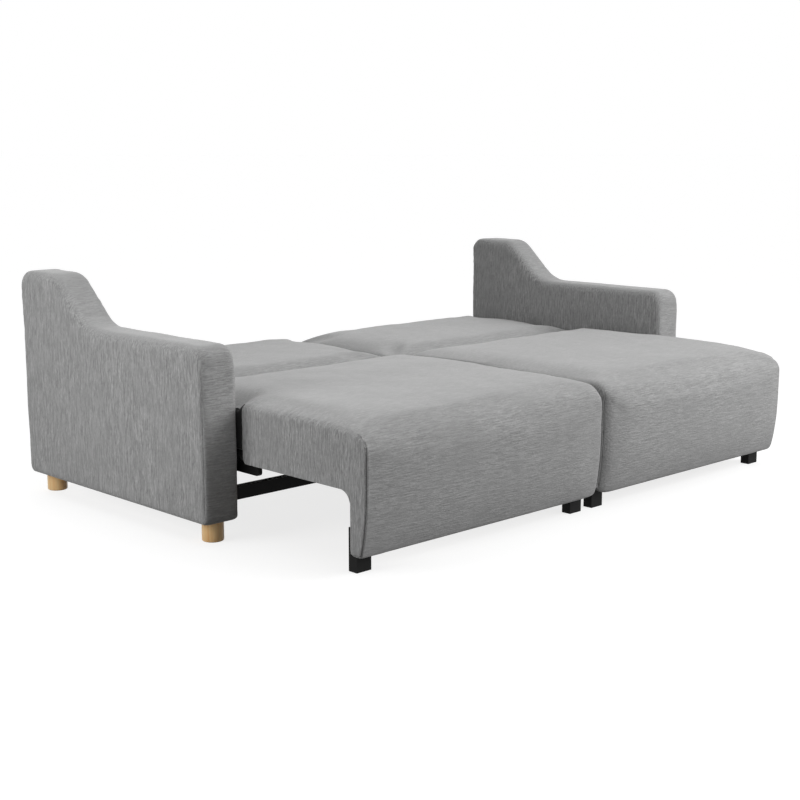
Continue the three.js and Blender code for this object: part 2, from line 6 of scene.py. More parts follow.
import bmesh
import bpy
import numpy as np
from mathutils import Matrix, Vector


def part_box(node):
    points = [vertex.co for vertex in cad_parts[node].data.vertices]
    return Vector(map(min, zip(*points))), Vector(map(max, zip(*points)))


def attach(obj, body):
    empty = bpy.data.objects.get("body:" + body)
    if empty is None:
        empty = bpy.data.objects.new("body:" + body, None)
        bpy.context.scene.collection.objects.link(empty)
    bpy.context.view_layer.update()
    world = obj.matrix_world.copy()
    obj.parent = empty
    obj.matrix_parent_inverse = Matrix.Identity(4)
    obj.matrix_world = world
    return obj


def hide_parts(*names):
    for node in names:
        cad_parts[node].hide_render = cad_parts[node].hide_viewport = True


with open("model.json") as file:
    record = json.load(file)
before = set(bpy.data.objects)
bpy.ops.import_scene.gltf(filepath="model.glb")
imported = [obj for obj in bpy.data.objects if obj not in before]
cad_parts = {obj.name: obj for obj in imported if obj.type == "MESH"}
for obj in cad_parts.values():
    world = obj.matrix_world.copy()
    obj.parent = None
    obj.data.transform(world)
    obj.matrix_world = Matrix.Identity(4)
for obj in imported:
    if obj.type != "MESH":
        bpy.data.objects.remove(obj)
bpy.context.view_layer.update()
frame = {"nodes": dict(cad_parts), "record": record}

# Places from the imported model, in metres
ARM_LOW, ARM_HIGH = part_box("right_arm_cover")
SEAT_LOW, SEAT_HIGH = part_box("right_seat_pad")
PANEL_LOW, PANEL_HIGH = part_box("right_front_panel")
BOARD_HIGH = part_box("right_front_board")[1]
STRIP_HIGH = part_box("right_outer_side_panel")[1]
STRIP_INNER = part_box("right_inner_side_panel")[0]
BACK_LOW, BACK_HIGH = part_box("right_back_pad")
FRAME_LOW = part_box("right_back_frame")[0]

# Camera, fitted to the photograph
CAMERA_PLACE = (-3.5223, -3.4989, 1.1715)
CAMERA_YAW = math.radians(43.91)
CAMERA_PITCH = math.radians(10.35)
CAMERA_REACH = 100
FOCAL_PIXELS = 1433.39
IMAGE_PIXELS = 800
SENSOR_WIDTH = 36.0

# Arms. A blend is where a change starts and ends, measured from the edge it belongs to
ARM_REST_HEIGHT = 0.5895
ARM_WING_HEIGHT = 0.745
ARM_FRONT_RADIUS = 0.044
ARM_BACK_RADIUS = 0.042
ARM_BACK_LEAN = 0.008
ARM_FOOT_RADIUS = 0.017
WING_TOP_LENGTH = 0.129
WING_FOOT_RADIUS = 0.15
SHOULDER_RADIUS = 0.095
WING_SLOPE = math.radians(42)
ARM_TOP_ROUND = 0.034
ARM_CROWN_ROUND = 0.02
ARM_FRONT_EDGE = 0.02
ARM_BACK_EDGE = 0.009
ARM_CORNER_STEPS = 7
ARM_CROWN_BLEND = (-0.14, -0.04)
ARM_FRONT_BLEND = (-0.085, -0.012)
ARM_BACK_BLEND = (-ARM_BACK_RADIUS, -0.01)
ARM_FOOT_BLEND = (0.0, 0.03)
ARM_PUFF = 0.0015
ARM_PUFF_DEPTH = 0.05
ARM_UNEVEN_BLEND = (0.02, 0.06)
ARM_LINING_HEIGHT = 0.004
FACING_DOWN = -0.9

# Seats and backs
SEAT_TOP = 0.428
SEAT_CROWN = 0.012
SEAT_FALL_START = -0.47
SEAT_OUTER_FALL = 0.02
SEAT_INNER_FALL = 0.014
SEAT_REAR_FALL = 0.014
SEAT_REAR_START = -0.25
FRONT_SWELL = 0.007
FRONT_FOOT_DROP = 0.006
FRONT_ROLL = 0.058
SEAT_EDGE_BLEND = (-1.2 * FRONT_ROLL, -0.2 * FRONT_ROLL)
FRONT_TUCK = 0.028
FRONT_TUCK_TOP = 0.28
FRONT_TUCK_CURVE = 2.6
FRONT_THICK = 0.049
PAD_CLEARANCE = 0.0006
SEAT_REAR_ROUND = 0.088
SEAT_OUTER_EDGES = (0.036, 0.013)
INNER_TOP_EDGE = 0.03
INNER_FRONT_EDGE = {"left": 0.011, "right": 0.036}
PANEL_FOOT_ROUND = 0.02
PANEL_CORNER_RADIUS = 0.013
NOTCH_BOTTOM = 0.235
NOTCH_RADIUS = 0.04
NOTCH_STEPS = 8
STAIR_REACH = 0.01
STRIP_REAR_RADIUS = 0.018
STRIP_THICK = 0.02
OUTER_INSET = -0.006
INNER_SWELL = 0.002
INNER_DROP = {"left": 0.004, "right": 0.013}
INNER_DROP_REACH = 0.075
INNER_DROP_DEPTH = 0.05
SIDE_RECESS = 0.01
SIDE_RECESS_BLEND = (-0.001, 0.008)
GATHER_DEPTH = {"left": 0.023, "right": 0.014}
GATHER_OFFSET = 0.045
GATHER_REACH = (0.065, 0.03, 0.075)
GATHER_BLEND = (-0.08, -0.02)
SKIRT_THICK = 0.005
SEAT_PUCKER = {"left": 0.003, "right": 0.0012}
SKIRT_BOTTOM = 0.2365
SKIRT_REAR = 0.02
# Painted shade: where the seat's outer side behind the strip gets dark cloth, standing in for the shade in
# the gap beside the arm
PAINTED_SHADE_DROP = 0.004
PAINTED_SHADE_START = 0.002
PAINTED_SHADE_DEPTH = 0.02
PAINTED_SHADE_FACING = 0.1
BACK_TOP = 0.413
BACK_CROWN = 0.015
BACK_INNER_FALL = 0.007
BACK_INNER_REACH = 0.2
BACK_FRONT_ROUND = 0.03
BACK_END_ROUND = 0.044
BACK_TOP_EDGE = 0.024
BACK_FOOT_EDGE = 0.01
BACK_EDGE_BLEND = (-0.06, -0.01)
BACK_WRAP_THICK = 0.008
BACK_WRAP_DROP = 0.002
BACK_PUCKER = 0.001

# Wooden feet
FOOT_BEVEL = 0.004
FOOT_BEVEL_TURNS = np.linspace(0.15, math.pi / 2, 6)
FOOT_RINGS = (0.3, 0.5, 0.7, 0.9)

# Seams: the depth of a groove and what it loses at the top, its width, and its puckers
ARM_GROOVE = (0.001, 0.0008)
ARM_GROOVE_WIDTH = 0.0032
ARM_SEAM_SHIFT = 0.012
ARM_SEAM_BLEND = (-0.1, -0.05)
ARM_PUCKERS = {"pucker": 0.0008, "wavelength": 0.034, "reach": 0.022}
PAD_INNER_GROOVE = 0.0005
PAD_GROOVE = (0.0028, 0.0022)
PAD_GROOVE_WIDTHS = (0.0026, 0.0034)
PAD_SEAM_SHIFT = 0.014
PAD_SEAM_BLEND = (-0.06, -0.03)
PAD_OUTER_BLEND = (0.0, 0.1)
PAD_PUCKERS = {"wavelength": 0.024, "reach": 0.02}
ROLL_HEIGHT, ROLL_PLACE, ROLL_WIDTH = 0.35, 2.7, 1.5
PUCKER_GROUP, PUCKER_MEAN, PUCKER_SWING = 9, 0.55, 0.6
PUCKER_RANGE = (0.1, 1.3)
NO_SEAM = 1.0

# Unevenness: heights and wavelengths of its broad and fine waves
ARM_UNEVEN = (0.0008, 0.00025)
PAD_UNEVEN = (0.001, 0.0003)
UNEVEN_WAVES = (0.22, 0.07)
SOFT_HEIGHT = 0.004
SOFT_DEPTH = 0.035
RIPPLE_SPREAD = (0.7, 1.6)
BEAT_SPREAD = (0.65, 1.7)
ARM_SEED = {"left": 20, "right": 25}
SEAT_SEED = {"left": 38, "right": 44}
BACK_SEED = {"left": 58, "right": 64}

# Mesh spacing
ARM_STEP = 0.01
PAD_STEP_X = 0.017
PAD_STEP_Y = 0.0086
PAD_STEP_Z = 0.012
STRIP_END_STEP = 0.006
WRAP_STEP = 0.01
SEAM_STEPS = (0.002, 0.006)
RIM_REACH = 0.0006
CORNER_LIMIT = 1.02
NEAR_DOUBLE = 1e-5
TOUCH = 1e-6
TINY = 1e-9

# Cloth simulation
CLOTH_FRAMES = 20
CLOTH_SETTINGS = {
    "quality": 6,
    "mass": 0.4,
    "tension_stiffness": 18,
    "compression_stiffness": 18,
    "shear_stiffness": 8,
    "bending_stiffness": 2.5,
    "use_pressure": True,
    "uniform_pressure_force": 4.0,
}

# Where a pad is held still or calmed, measured from its edges
HELD_SIDE = 0.008
HELD_UNDER = 0.001
HELD_BEHIND = (0.03, 0.012)
HELD_REAR = (0.002, 0.03)
HELD_FOOT = 0.01
HELD_BACK_LOW = 0.012
HELD_BACK_SIDE = (0.004, 0.03)
BACK_SIDE_CAP = 0.002
CORNER_CALM = 0.8
CALM_FRONT_BLEND = (0.05, 0.14)
CALM_INNER_BLEND = (0.03, 0.12)

# Fabric: waves per metre along the ribs, across them on the sides, and across them elsewhere
RIB_WAVES = (24.0, 235.0, 250.0)
SLUB_WAVES = (90.0, 230.0, 250.0)
STREAK_WAVES = (9.0, 110.0, 120.0)
PATCH_WAVES = 7.0
FUZZ_WAVES = 900.0
PLUMB_OFFSET = (3.1, 1.7, 0.4)
UPRIGHT_TURN = (0.66, 0.76)
NOISE_RANGE = (0.3, 0.7)
THICK_SLUBS = (0.57, 0.66)
SUNK_SLUBS = (0.43, 0.34)
PATCH_RANGE = (0.38, 0.62)
PATCH_BUSY = (0.7, 1.15)
FRONT_BUSY, SIDE_BUSY, TOP_BUSY = 0.82, 1.3, 0.55
RIB_TONE, SLUB_TONE, STREAK_TONE, PATCH_TONE = 0.24, 0.1, 0.035, 0.05
RIB_HEIGHT, SLUB_HEIGHT, STREAK_HEIGHT = 0.7, 0.3, 0.15
FABRIC_LEVELS = (112, 162, 206)
WEAVE_DEPTH = 0.001
FUZZ_DEPTH = 0.0006

# Light
AMBIENT = 0.15
SUNS = (
    ("overhead", (0.0, 0.1, 1.0), 0.3, 70),
    ("right_front", (0.6, -0.7, 0.45), 0.3, 40),
    ("behind", (0.4, 0.9, 0.35), 0.35, 50),
)
PANELS = (
    ("right_panel", (1.9, -2.8, 1.85), (0.3, -0.7, 0.2), 1.5, 51),
    ("left_panel", (-3.2, 0.3, 1.1), (-1.1, 0.2, 0.35), 1.2, 28),
)
FLOOR_SIZE = 400
FLOOR_BOUNCE = (0.2, 0.2, 0.2, 1)
FLOOR_SHADED = (0.3, 0.3, 0.3, 1)
FLOOR_GLOW = 0.79
WHITE = (1, 1, 1, 1)


def linear(level):
    """The linear value of an sRGB level from 0 to 255."""
    share = level / 255
    return share / 12.92 if share < 0.04045 else ((share + 0.055) / 1.055) ** 2.4


def rgb(red, green, blue):
    return (linear(red), linear(green), linear(blue), 1.0)


def grey(level):
    return rgb(level, level, level)


# Shader helpers
class Shader:
    """A node tree, with short calls for its nodes."""

    def __init__(self, owner, output):
        owner.use_nodes = True
        self.owner = owner
        self.nodes = owner.node_tree.nodes
        self.links = owner.node_tree.links
        self.nodes.clear()
        self.output = self.nodes.new(output)

    def put(self, socket, value):
        if isinstance(value, bpy.types.NodeSocket):
            self.links.new(value, socket)
        else:
            socket.default_value = value

    def add(self, kind, **inputs):
        """A new node with its named inputs."""
        node = self.nodes.new("ShaderNode" + kind)
        for name, value in inputs.items():
            self.put(node.inputs[name.replace("_", " ")], value)
        return node

    def join(self, node, *inputs):
        """The result of a node whose inputs go by their order."""
        for socket, value in zip(node.inputs, inputs):
            self.put(socket, value)
        return node.outputs[0]

    def end_in(self, shader):
        self.put(self.output.inputs["Surface"], shader)

    def principled(self, **inputs):
        """Ends the tree in a surface and returns the material."""
        self.end_in(self.add("BsdfPrincipled", **inputs).outputs["BSDF"])
        return self.owner

    def noise(self, waves, detail=2.0, roughness=0.5, distortion=0.0, offset=(0.0, 0.0, 0.0)):
        """Noise with so many waves per metre, all round or along X, Y and Z."""
        scale = waves if isinstance(waves, tuple) else (waves, waves, waves)
        place = self.add("TexCoord").outputs["Object"]
        vector = self.add("Mapping", Vector=place, Scale=scale, Location=offset).outputs["Vector"]
        look = {"Detail": detail, "Roughness": roughness, "Distortion": distortion}
        return self.add("TexNoise", Vector=vector, Scale=1.0, **look).outputs["Fac"]

    def facing(self, axis):
        """How squarely the surface faces an axis, from 0 to 1."""
        parts = self.add("SeparateXYZ", Vector=self.add("TexCoord").outputs["Normal"])
        return self.math("ABSOLUTE", parts.outputs[axis])

    def math(self, operation, a, b=0.0, clamp=False):
        node = self.add("Math")
        node.operation = operation
        node.use_clamp = clamp
        return self.join(node, a, b)

    def weigh(self, *pairs):
        """The sum of values, each times its weight."""
        parts = [self.math("MULTIPLY", value, weight) for value, weight in pairs]
        total = parts[0]
        for part in parts[1:]:
            total = self.math("ADD", total, part)
        return total

    def remap(self, value, low, high, to_low=0.0, to_high=1.0, smooth=False):
        node = self.add("MapRange", Value=value, From_Min=low, From_Max=high, To_Min=to_low, To_Max=to_high)
        node.interpolation_type = "SMOOTHSTEP" if smooth else "LINEAR"
        return node.outputs["Result"]

    def spread(self, noise, low, high, smooth=False):
        """Noise stretched to run from about low to high."""
        return self.remap(noise, *NOISE_RANGE, low, high, smooth)

    def mix(self, factor, a, b):
        node = self.add("Mix")
        node.data_type = "FLOAT"
        for index, value in ((0, factor), (2, a), (3, b)):
            self.put(node.inputs[index], value)
        return node.outputs[0]

    def ramp(self, value, *stops):
        node = self.add("ValToRGB", Fac=value)
        elements = node.color_ramp.elements
        elements[0].position, elements[0].color = stops[0]
        elements[1].position, elements[1].color = stops[-1]
        for position, color in stops[1:-1]:
            elements.new(position).color = color
        return node.outputs["Color"]

    def bump(self, height, distance, strength, **normal):
        node = self.add("Bump", Height=height, Distance=distance, Strength=strength, **normal)
        return node.outputs["Normal"]


def surface(name):
    return Shader(bpy.data.materials.new(name), "ShaderNodeOutputMaterial")


def fabric_material():
    """Ribbed chenille: ribs run along X, and upright on the faces that look sideways."""
    s = surface("grey_chenille")
    upright = s.remap(s.facing("X"), *UPRIGHT_TURN, smooth=True)

    def two_ways(along, side_across, across, detail):
        level = s.noise((along, across, across), detail)
        plumb = s.noise((side_across, side_across, along), detail, offset=PLUMB_OFFSET)
        return s.mix(upright, level, plumb)

    ribs = two_ways(*RIB_WAVES, detail=1.0)
    slubs = two_ways(*SLUB_WAVES, detail=1.0)
    streaks = two_ways(*STREAK_WAVES, detail=2.0)
    patches = s.noise(PATCH_WAVES, detail=3.0, roughness=0.6)
    fuzz = s.noise(FUZZ_WAVES, detail=1.0)
    thick = s.remap(slubs, *THICK_SLUBS, smooth=True)
    sunk = s.remap(slubs, *SUNK_SLUBS, smooth=True)
    dashes = s.math("SUBTRACT", thick, sunk)
    crisp = s.spread(ribs, -0.5, 0.5, smooth=True)
    busy = s.remap(patches, *PATCH_RANGE, *PATCH_BUSY)
    busy = s.math("MULTIPLY", busy, s.remap(upright, 0.0, 1.0, FRONT_BUSY, SIDE_BUSY))
    busy = s.math("MULTIPLY", busy, s.remap(s.facing("Z"), 0.5, 1.0, 1.0, TOP_BUSY))
    tone = s.weigh((crisp, RIB_TONE), (dashes, SLUB_TONE))
    streak_tone, patch_tone = s.spread(streaks, -0.5, 0.5), s.spread(patches, -0.5, 0.5)
    tone = s.weigh((tone, busy), (streak_tone, STREAK_TONE), (patch_tone, PATCH_TONE))
    dark, middle, light = map(grey, FABRIC_LEVELS)
    color = s.ramp(s.math("ADD", tone, 0.5, clamp=True), (0.0, dark), (0.5, middle), (1.0, light))
    height = s.weigh((crisp, RIB_HEIGHT), (dashes, SLUB_HEIGHT))
    height = s.weigh((height, busy), (streaks, STREAK_HEIGHT))
    weave = s.bump(height, distance=WEAVE_DEPTH, strength=0.8)
    return s.principled(
        Base_Color=color,
        Roughness=0.92,
        Specular_IOR_Level=0.18,
        Sheen_Weight=0.25,
        Sheen_Roughness=0.55,
        Normal=s.bump(fuzz, distance=FUZZ_DEPTH, strength=0.5, Normal=weave),
    )


def lining_and_shade_material():
    """Dark unwoven cloth under the upholstery, also put on the seat's hidden outer side as painted shade.
    """
    s = surface("dark_lining_and_painted_shade")
    fibres = s.noise(420.0, detail=3.0)
    color = s.ramp(fibres, (0.3, grey(22)), (0.7, grey(48)))
    hairy = s.bump(fibres, distance=0.0008, strength=0.6)
    return s.principled(Base_Color=color, Roughness=0.95, Normal=hairy)


def black_steel_material():
    """Black powder coat with a fine orange peel."""
    s = surface("black_powder_coat")
    peel = s.noise(700.0)
    wear = s.noise(9.0, detail=5.0, roughness=0.65)
    return s.principled(
        Base_Color=s.ramp(wear, (0.35, grey(12)), (0.65, grey(22))),
        Roughness=s.spread(wear, 0.5, 0.66),
        Specular_IOR_Level=0.12,
        Normal=s.bump(peel, distance=0.0003, strength=0.35),
    )


def foot_wood_material():
    """Light lacquered wood with its grain upright."""
    s = surface("light_wood")
    grain = s.noise((95.0, 95.0, 5.0), detail=4.0, distortion=0.6)
    pores = s.noise((420.0, 420.0, 22.0))
    bands = s.noise((26.0, 26.0, 2.5), distortion=1.2)
    figure = s.weigh((grain, 0.55), (bands, 0.45))
    dark, middle, light = rgb(242, 187, 122), rgb(252, 209, 148), rgb(255, 222, 166)
    return s.principled(
        Base_Color=s.ramp(figure, (0.36, dark), (0.5, middle), (0.64, light)),
        Roughness=s.spread(pores, 0.42, 0.58),
        Coat_Weight=0.25,
        Coat_Roughness=0.3,
        Normal=s.bump(pores, distance=0.0004, strength=0.35),
    )


def plywood_material():
    """Plywood with its grain along X and thin layers."""
    s = surface("raw_plywood")
    grain = s.noise((3.0, 80.0, 80.0), detail=4.0, distortion=0.4)
    fine = s.noise((26.0, 420.0, 420.0))
    layers = s.noise((2.0, 2.0, 640.0), detail=1.0)
    edge = s.math("SUBTRACT", 1.0, s.facing("Z"))
    figure = s.mix(edge, grain, layers)
    dark, middle, light = rgb(192, 158, 116), rgb(210, 179, 138), rgb(225, 198, 160)
    return s.principled(
        Base_Color=s.ramp(figure, (0.35, dark), (0.5, middle), (0.65, light)),
        Roughness=s.spread(fine, 0.65, 0.85),
        Normal=s.bump(fine, distance=0.0005, strength=0.5),
    )


def nylon_material():
    """Dark moulded nylon with flow marks."""
    s = surface("moulded_nylon")
    flow = s.noise(30.0, detail=3.0)
    grainy = s.noise(1200.0, detail=1.0)
    return s.principled(
        Base_Color=s.ramp(flow, (0.35, grey(30)), (0.65, grey(46))),
        Roughness=s.spread(flow, 0.38, 0.5),
        Normal=s.bump(grainy, distance=0.0002, strength=0.4),
    )


def zinc_material():
    """Zinc plate, brushed along X, with a cloudy bloom."""
    s = surface("zinc_plate")
    brushed = s.noise((40.0, 900.0, 900.0))
    bloom = s.noise(60.0, detail=4.0)
    return s.principled(
        Base_Color=s.ramp(bloom, (0.35, rgb(150, 153, 156)), (0.65, rgb(190, 192, 194))),
        Metallic=0.95,
        Roughness=s.spread(brushed, 0.28, 0.46),
        Normal=s.bump(brushed, distance=0.0002, strength=0.3),
    )


# Mesh helpers
def add_object(name, data):
    thing = bpy.data.objects.new(name, data)
    bpy.context.scene.collection.objects.link(thing)
    return thing


def upholstery(name, points, faces, **fields):
    """A fabric mesh with named numbers on its points."""
    mesh = bpy.data.meshes.new(name)
    mesh.from_pydata(points.tolist(), [], faces.tolist())
    mesh.update()
    mesh.materials.append(MATERIALS["grey_fabric"])
    # The second slot is dark lining cloth, also used as painted shade on the seat's hidden outer side
    mesh.materials.append(LINING_AND_PAINTED_SHADE)
    for field, values in fields.items():
        mesh.attributes.new(field, "FLOAT", "POINT").data.foreach_set("value", values)
    return add_object(name, mesh)


def lines(low, high, step):
    """Even values from low to high, about a step apart."""
    count = max(1, round((high - low) / step))
    return np.linspace(low, high, count + 1)


def grid_lines(*values):
    """One rising list of grid lines, without near doubles."""
    merged = np.sort(np.concatenate([np.atleast_1d(v) for v in values]))
    keep = np.concatenate([[True], np.diff(merged) > NEAR_DOUBLE])
    return merged[keep]


def seam_lines(low, high, step):
    """Lines from low to high that crowd together at both ends."""
    near = np.array(SEAM_STEPS)
    return grid_lines([low], low + near, lines(low + near[-1], high - near[-1], step), high - near, [high])


def cell_surface(xs, ys, zs, filled):
    """The points and quads around the filled cells of a grid."""
    solid = np.pad(filled, 1)
    size = (len(xs), len(ys), len(zs))
    quads = []
    for axis in range(3):
        b, c = (axis + 1) % 3, (axis + 2) % 3
        turned = np.moveaxis(solid, axis, 0)[:, 1:-1, 1:-1]
        before, after = turned[:-1], turned[1:]
        order = [axis] + [a for a in range(3) if a != axis]
        for rising, where in ((False, after & ~before), (True, before & ~after)):
            cells = np.argwhere(where)
            corner = np.zeros((len(cells), 3), int)
            corner[:, order] = cells
            steps = np.zeros((4, 3), int)
            steps[[1, 2], b] = steps[[2, 3], c] = 1
            if not rising:
                steps = steps[::-1]
            corners = corner[:, None, :] + steps[None, :, :]
            quads.append(np.ravel_multi_index(np.moveaxis(corners, 2, 0), size))
    quads = np.concatenate(quads)
    used, faces = np.unique(quads, return_inverse=True)
    i, j, k = np.unravel_index(used, size)
    points = np.stack([xs[i], ys[j], zs[k]], axis=1)
    return points, faces.reshape(-1, 4)


def cell_middles(xs, ys, zs):
    middle = [(v[:-1] + v[1:]) / 2 for v in (xs, ys, zs)]
    return np.meshgrid(*middle, indexing="ij")


def read_values(items, field, kind=np.float32, width=3):
    values = np.empty(len(items) * width, kind)
    items.foreach_get(field, values)
    return values.reshape(-1, width)


def read_points(mesh):
    return read_values(mesh.vertices, "co", float)


def read_normals(mesh):
    return read_values(mesh.vertex_normals, "vector").astype(float)


def write_points(mesh, points):
    mesh.vertices.foreach_set("co", points.ravel())
    mesh.update()


def subdivide(piece):
    """One smooth subdivision, applied to the mesh."""
    piece.modifiers.new("smooth", "SUBSURF").levels = 1
    graph = bpy.context.evaluated_depsgraph_get()
    result = bpy.data.meshes.new_from_object(piece.evaluated_get(graph))
    old = piece.data
    piece.modifiers.clear()
    piece.data = result
    result.name = piece.name
    bpy.data.meshes.remove(old)


def line_and_shade_faces(mesh, lined):
    mesh.polygons.foreach_set("material_index", lined.astype(np.int32))


def shade_smooth(piece):
    piece.data.polygons.foreach_set("use_smooth", [True] * len(piece.data.polygons))
    piece.data.update()


def progress(value, start, end):
    """How far the value has come from start to end, from 0 to 1."""
    return np.clip((value - start) / (end - start), 0, 1)


def smooth_step(value, start, end):
    t = progress(value, start, end)
    return t * t * (3 - 2 * t)


def blend(value, edge, reach):
    return smooth_step(value, edge + reach[0], edge + reach[1])


def ripple(points, wavelength, seed, waves=14):
    """A smooth uneven field of about -1 to 1."""
    random = np.random.default_rng(seed)
    total = np.zeros(len(points))
    for _ in range(waves):
        direction = random.normal(size=3)
        direction /= np.linalg.norm(direction)
        turns = 2 * math.pi / (wavelength * random.uniform(*RIPPLE_SPREAD))
        total += np.sin(points @ direction * turns + random.uniform(0, 2 * math.pi))
    return total / math.sqrt(waves)


def unevenness(points, heights, seed):
    (broad, fine), (long_wave, short_wave) = heights, UNEVEN_WAVES
    return broad * ripple(points, long_wave, seed) + fine * ripple(points, short_wave, seed + 1)


def square_to_round(a, b):
    """Places in a unit square, moved so that its far edges become a quarter circle."""
    large, small = np.maximum(a, b), np.minimum(a, b)
    angle = math.pi / 4 * small / np.maximum(large, TINY)
    far, near = large * np.cos(angle), large * np.sin(angle)
    return np.where(a >= b, far, near), np.where(a >= b, near, far)


def round_corner(points, corner_y, corner_z, toward_y, toward_z, radius, chosen=True):
    """Rounds a square edge that runs along X."""
    centre_y = corner_y - toward_y * radius
    centre_z = corner_z - toward_z * radius
    a = (points[:, 1] - centre_y) * toward_y / radius
    b = (points[:, 2] - centre_z) * toward_z / radius
    inside = chosen & (a > 0) & (b > 0) & (a < CORNER_LIMIT) & (b < CORNER_LIMIT)
    round_a, round_b = square_to_round(a[inside], b[inside])
    points[inside, 1] = centre_y + toward_y * radius * round_a
    points[inside, 2] = centre_z + toward_z * radius * round_b


def round_sides(points, depth, inward, half, radius):
    """Rounds the edges between the side faces and the rim, which is depth away."""
    offset = points[:, 0].copy()
    a = radius - depth
    b = np.abs(offset) - (half - radius)
    edge = (a > 0) & (b > 0)
    length = np.maximum(np.hypot(a, b), TINY)
    scale = np.maximum(a, b) / length
    points[:, 0] = np.where(edge, np.sign(offset) * (half - radius + b * scale), offset)
    shift = np.where(edge, a * (1 - scale), 0.0)
    points[:, 1] += inward[:, 0] * shift
    points[:, 2] += inward[:, 1] * shift


def rim_places(points, outline, half):
    """Each point's depth inside the outline, the direction into it, its nearest place and place along it.

    The last value is the distance from the seam, which is below 0 on the sides.
    """
    depth, place, along = nearest_on_line(points[:, 1:], outline)
    away = points[:, 1:] - place
    inward = away / np.maximum(np.linalg.norm(away, axis=1), TINY)[:, None]
    rim = depth < RIM_REACH
    inward[rim] = rim_direction(outline, place[rim])
    to_side = half - np.abs(points[:, 0])
    seam = np.where(np.abs(to_side) < TOUCH, -depth, np.where(rim, to_side, NO_SEAM))
    return depth, inward, place, along, seam


def unmark(mesh, name):
    layer = mesh.attributes[name]
    values = read_values(layer.data, "value", width=1).ravel()
    mesh.attributes.remove(layer)
    return values.astype(float)


def beat(position, wavelength, seed, waves=9):
    """An uneven wave along a seam."""
    random = np.random.default_rng(seed)
    total = np.zeros(len(position))
    for _ in range(waves):
        turns = 2 * math.pi / (wavelength * random.uniform(*BEAT_SPREAD))
        total += np.sin(position * turns + random.uniform(0, 2 * math.pi))
    return total / math.sqrt(waves)


def sewn(seam, along, seed, groove, width, pucker, wavelength, reach):
    """The height of a sewn edge: a groove, a roll on each side of it, and puckers."""
    crease = groove * np.exp(-((seam / width) ** 2))
    beside = (np.abs(seam) - ROLL_PLACE * width) / (ROLL_WIDTH * width)
    roll = ROLL_HEIGHT * groove * np.exp(-(beside ** 2))
    fade = np.exp(-np.abs(seam) / np.where(seam > 0, reach, 0.5 * reach))
    groups = beat(along, PUCKER_GROUP * wavelength, seed + 50)
    strength = np.clip(PUCKER_MEAN + PUCKER_SWING * groups, *PUCKER_RANGE)
    return roll - crease + pucker * strength * beat(along, wavelength, seed) * fade


def nearest_on_line(points, line):
    """Each point's distance from a line in Y and Z, nearest place on it and place along it."""
    start, end = line[:-1], line[1:]
    along = end - start
    length = np.linalg.norm(along, axis=1)
    total = np.concatenate([[0], np.cumsum(length)])
    best = np.full(len(points), np.inf)
    place = np.zeros((len(points), 2))
    position = np.zeros(len(points))
    for i in range(len(start)):
        t = np.clip(((points - start[i]) @ along[i]) / length[i] ** 2, 0, 1)
        near = start[i] + t[:, None] * along[i]
        distance = np.linalg.norm(points - near, axis=1)
        closer = distance < best
        best[closer] = distance[closer]
        place[closer] = near[closer]
        position[closer] = total[i] + t[closer] * length[i]
    return best, place, position


def arc(centre_y, centre_z, radius, start, end, steps=10):
    angles = np.radians(np.linspace(start, end, steps + 1))
    return np.stack([centre_y + radius * np.cos(angles), centre_z + radius * np.sin(angles)], axis=1)


# Cloth simulation
def inflate(piece, held):
    """Swells the cover, except its held points, and returns each point's movement."""
    rest = read_points(piece.data)
    group = piece.vertex_groups.new(name="held")
    group.add([int(i) for i in np.flatnonzero(held)], 1.0, "REPLACE")
    cloth = piece.modifiers.new("swell", "CLOTH")
    cloth.point_cache.frame_start = 1
    cloth.point_cache.frame_end = CLOTH_FRAMES
    for setting, value in CLOTH_SETTINGS.items():
        setattr(cloth.settings, setting, value)
    cloth.settings.vertex_group_mass = group.name
    cloth.settings.effector_weights.gravity = 0
    cloth.collision_settings.use_collision = False
    cloth.collision_settings.use_self_collision = False
    scene = bpy.context.scene
    for number in range(1, CLOTH_FRAMES + 1):
        scene.frame_set(number)
    graph = bpy.context.evaluated_depsgraph_get()
    swollen = read_points(piece.evaluated_get(graph).data)
    piece.modifiers.clear()
    piece.vertex_groups.clear()
    scene.frame_set(1)
    return swollen - rest


def softly(value, limit):
    """Follows small values and levels off towards the limit."""
    return limit * np.tanh(value / limit)


# Arms
def arm_outline():
    """The arm's closed profile in Y and Z."""
    front, bottom, foot = ARM_LOW.y, ARM_LOW.z, ARM_FOOT_RADIUS
    back_foot = ARM_HIGH.y - ARM_BACK_LEAN
    return np.concatenate([
        arc(front + foot, bottom + foot, foot, 270, 180, steps=4),
        arm_top(),
        arc(back_foot - foot, bottom + foot, foot, 0, -90, steps=4),
        [(front + foot, bottom)],
    ])


def arm_top():
    """The profile's part above the front and back faces."""
    shoulder_z = ARM_WING_HEIGHT - SHOULDER_RADIUS
    foot_z = ARM_REST_HEIGHT + WING_FOOT_RADIUS
    rise = math.cos(WING_SLOPE) * (shoulder_z - foot_z) + SHOULDER_RADIUS + WING_FOOT_RADIUS
    back_centre = ARM_HIGH.y - ARM_BACK_RADIUS
    shoulder_y = back_centre - WING_TOP_LENGTH
    foot_y = shoulder_y - rise / math.sin(WING_SLOPE)
    slope = math.degrees(WING_SLOPE)
    return np.concatenate([
        arc(ARM_LOW.y + ARM_FRONT_RADIUS, ARM_REST_HEIGHT - ARM_FRONT_RADIUS, ARM_FRONT_RADIUS, 180, 90),
        arc(foot_y, foot_z, WING_FOOT_RADIUS, -90, slope - 90),
        arc(shoulder_y, shoulder_z, SHOULDER_RADIUS, slope + 90, 90),
        arc(back_centre, ARM_WING_HEIGHT - ARM_BACK_RADIUS, ARM_BACK_RADIUS, 90, 0),
    ])


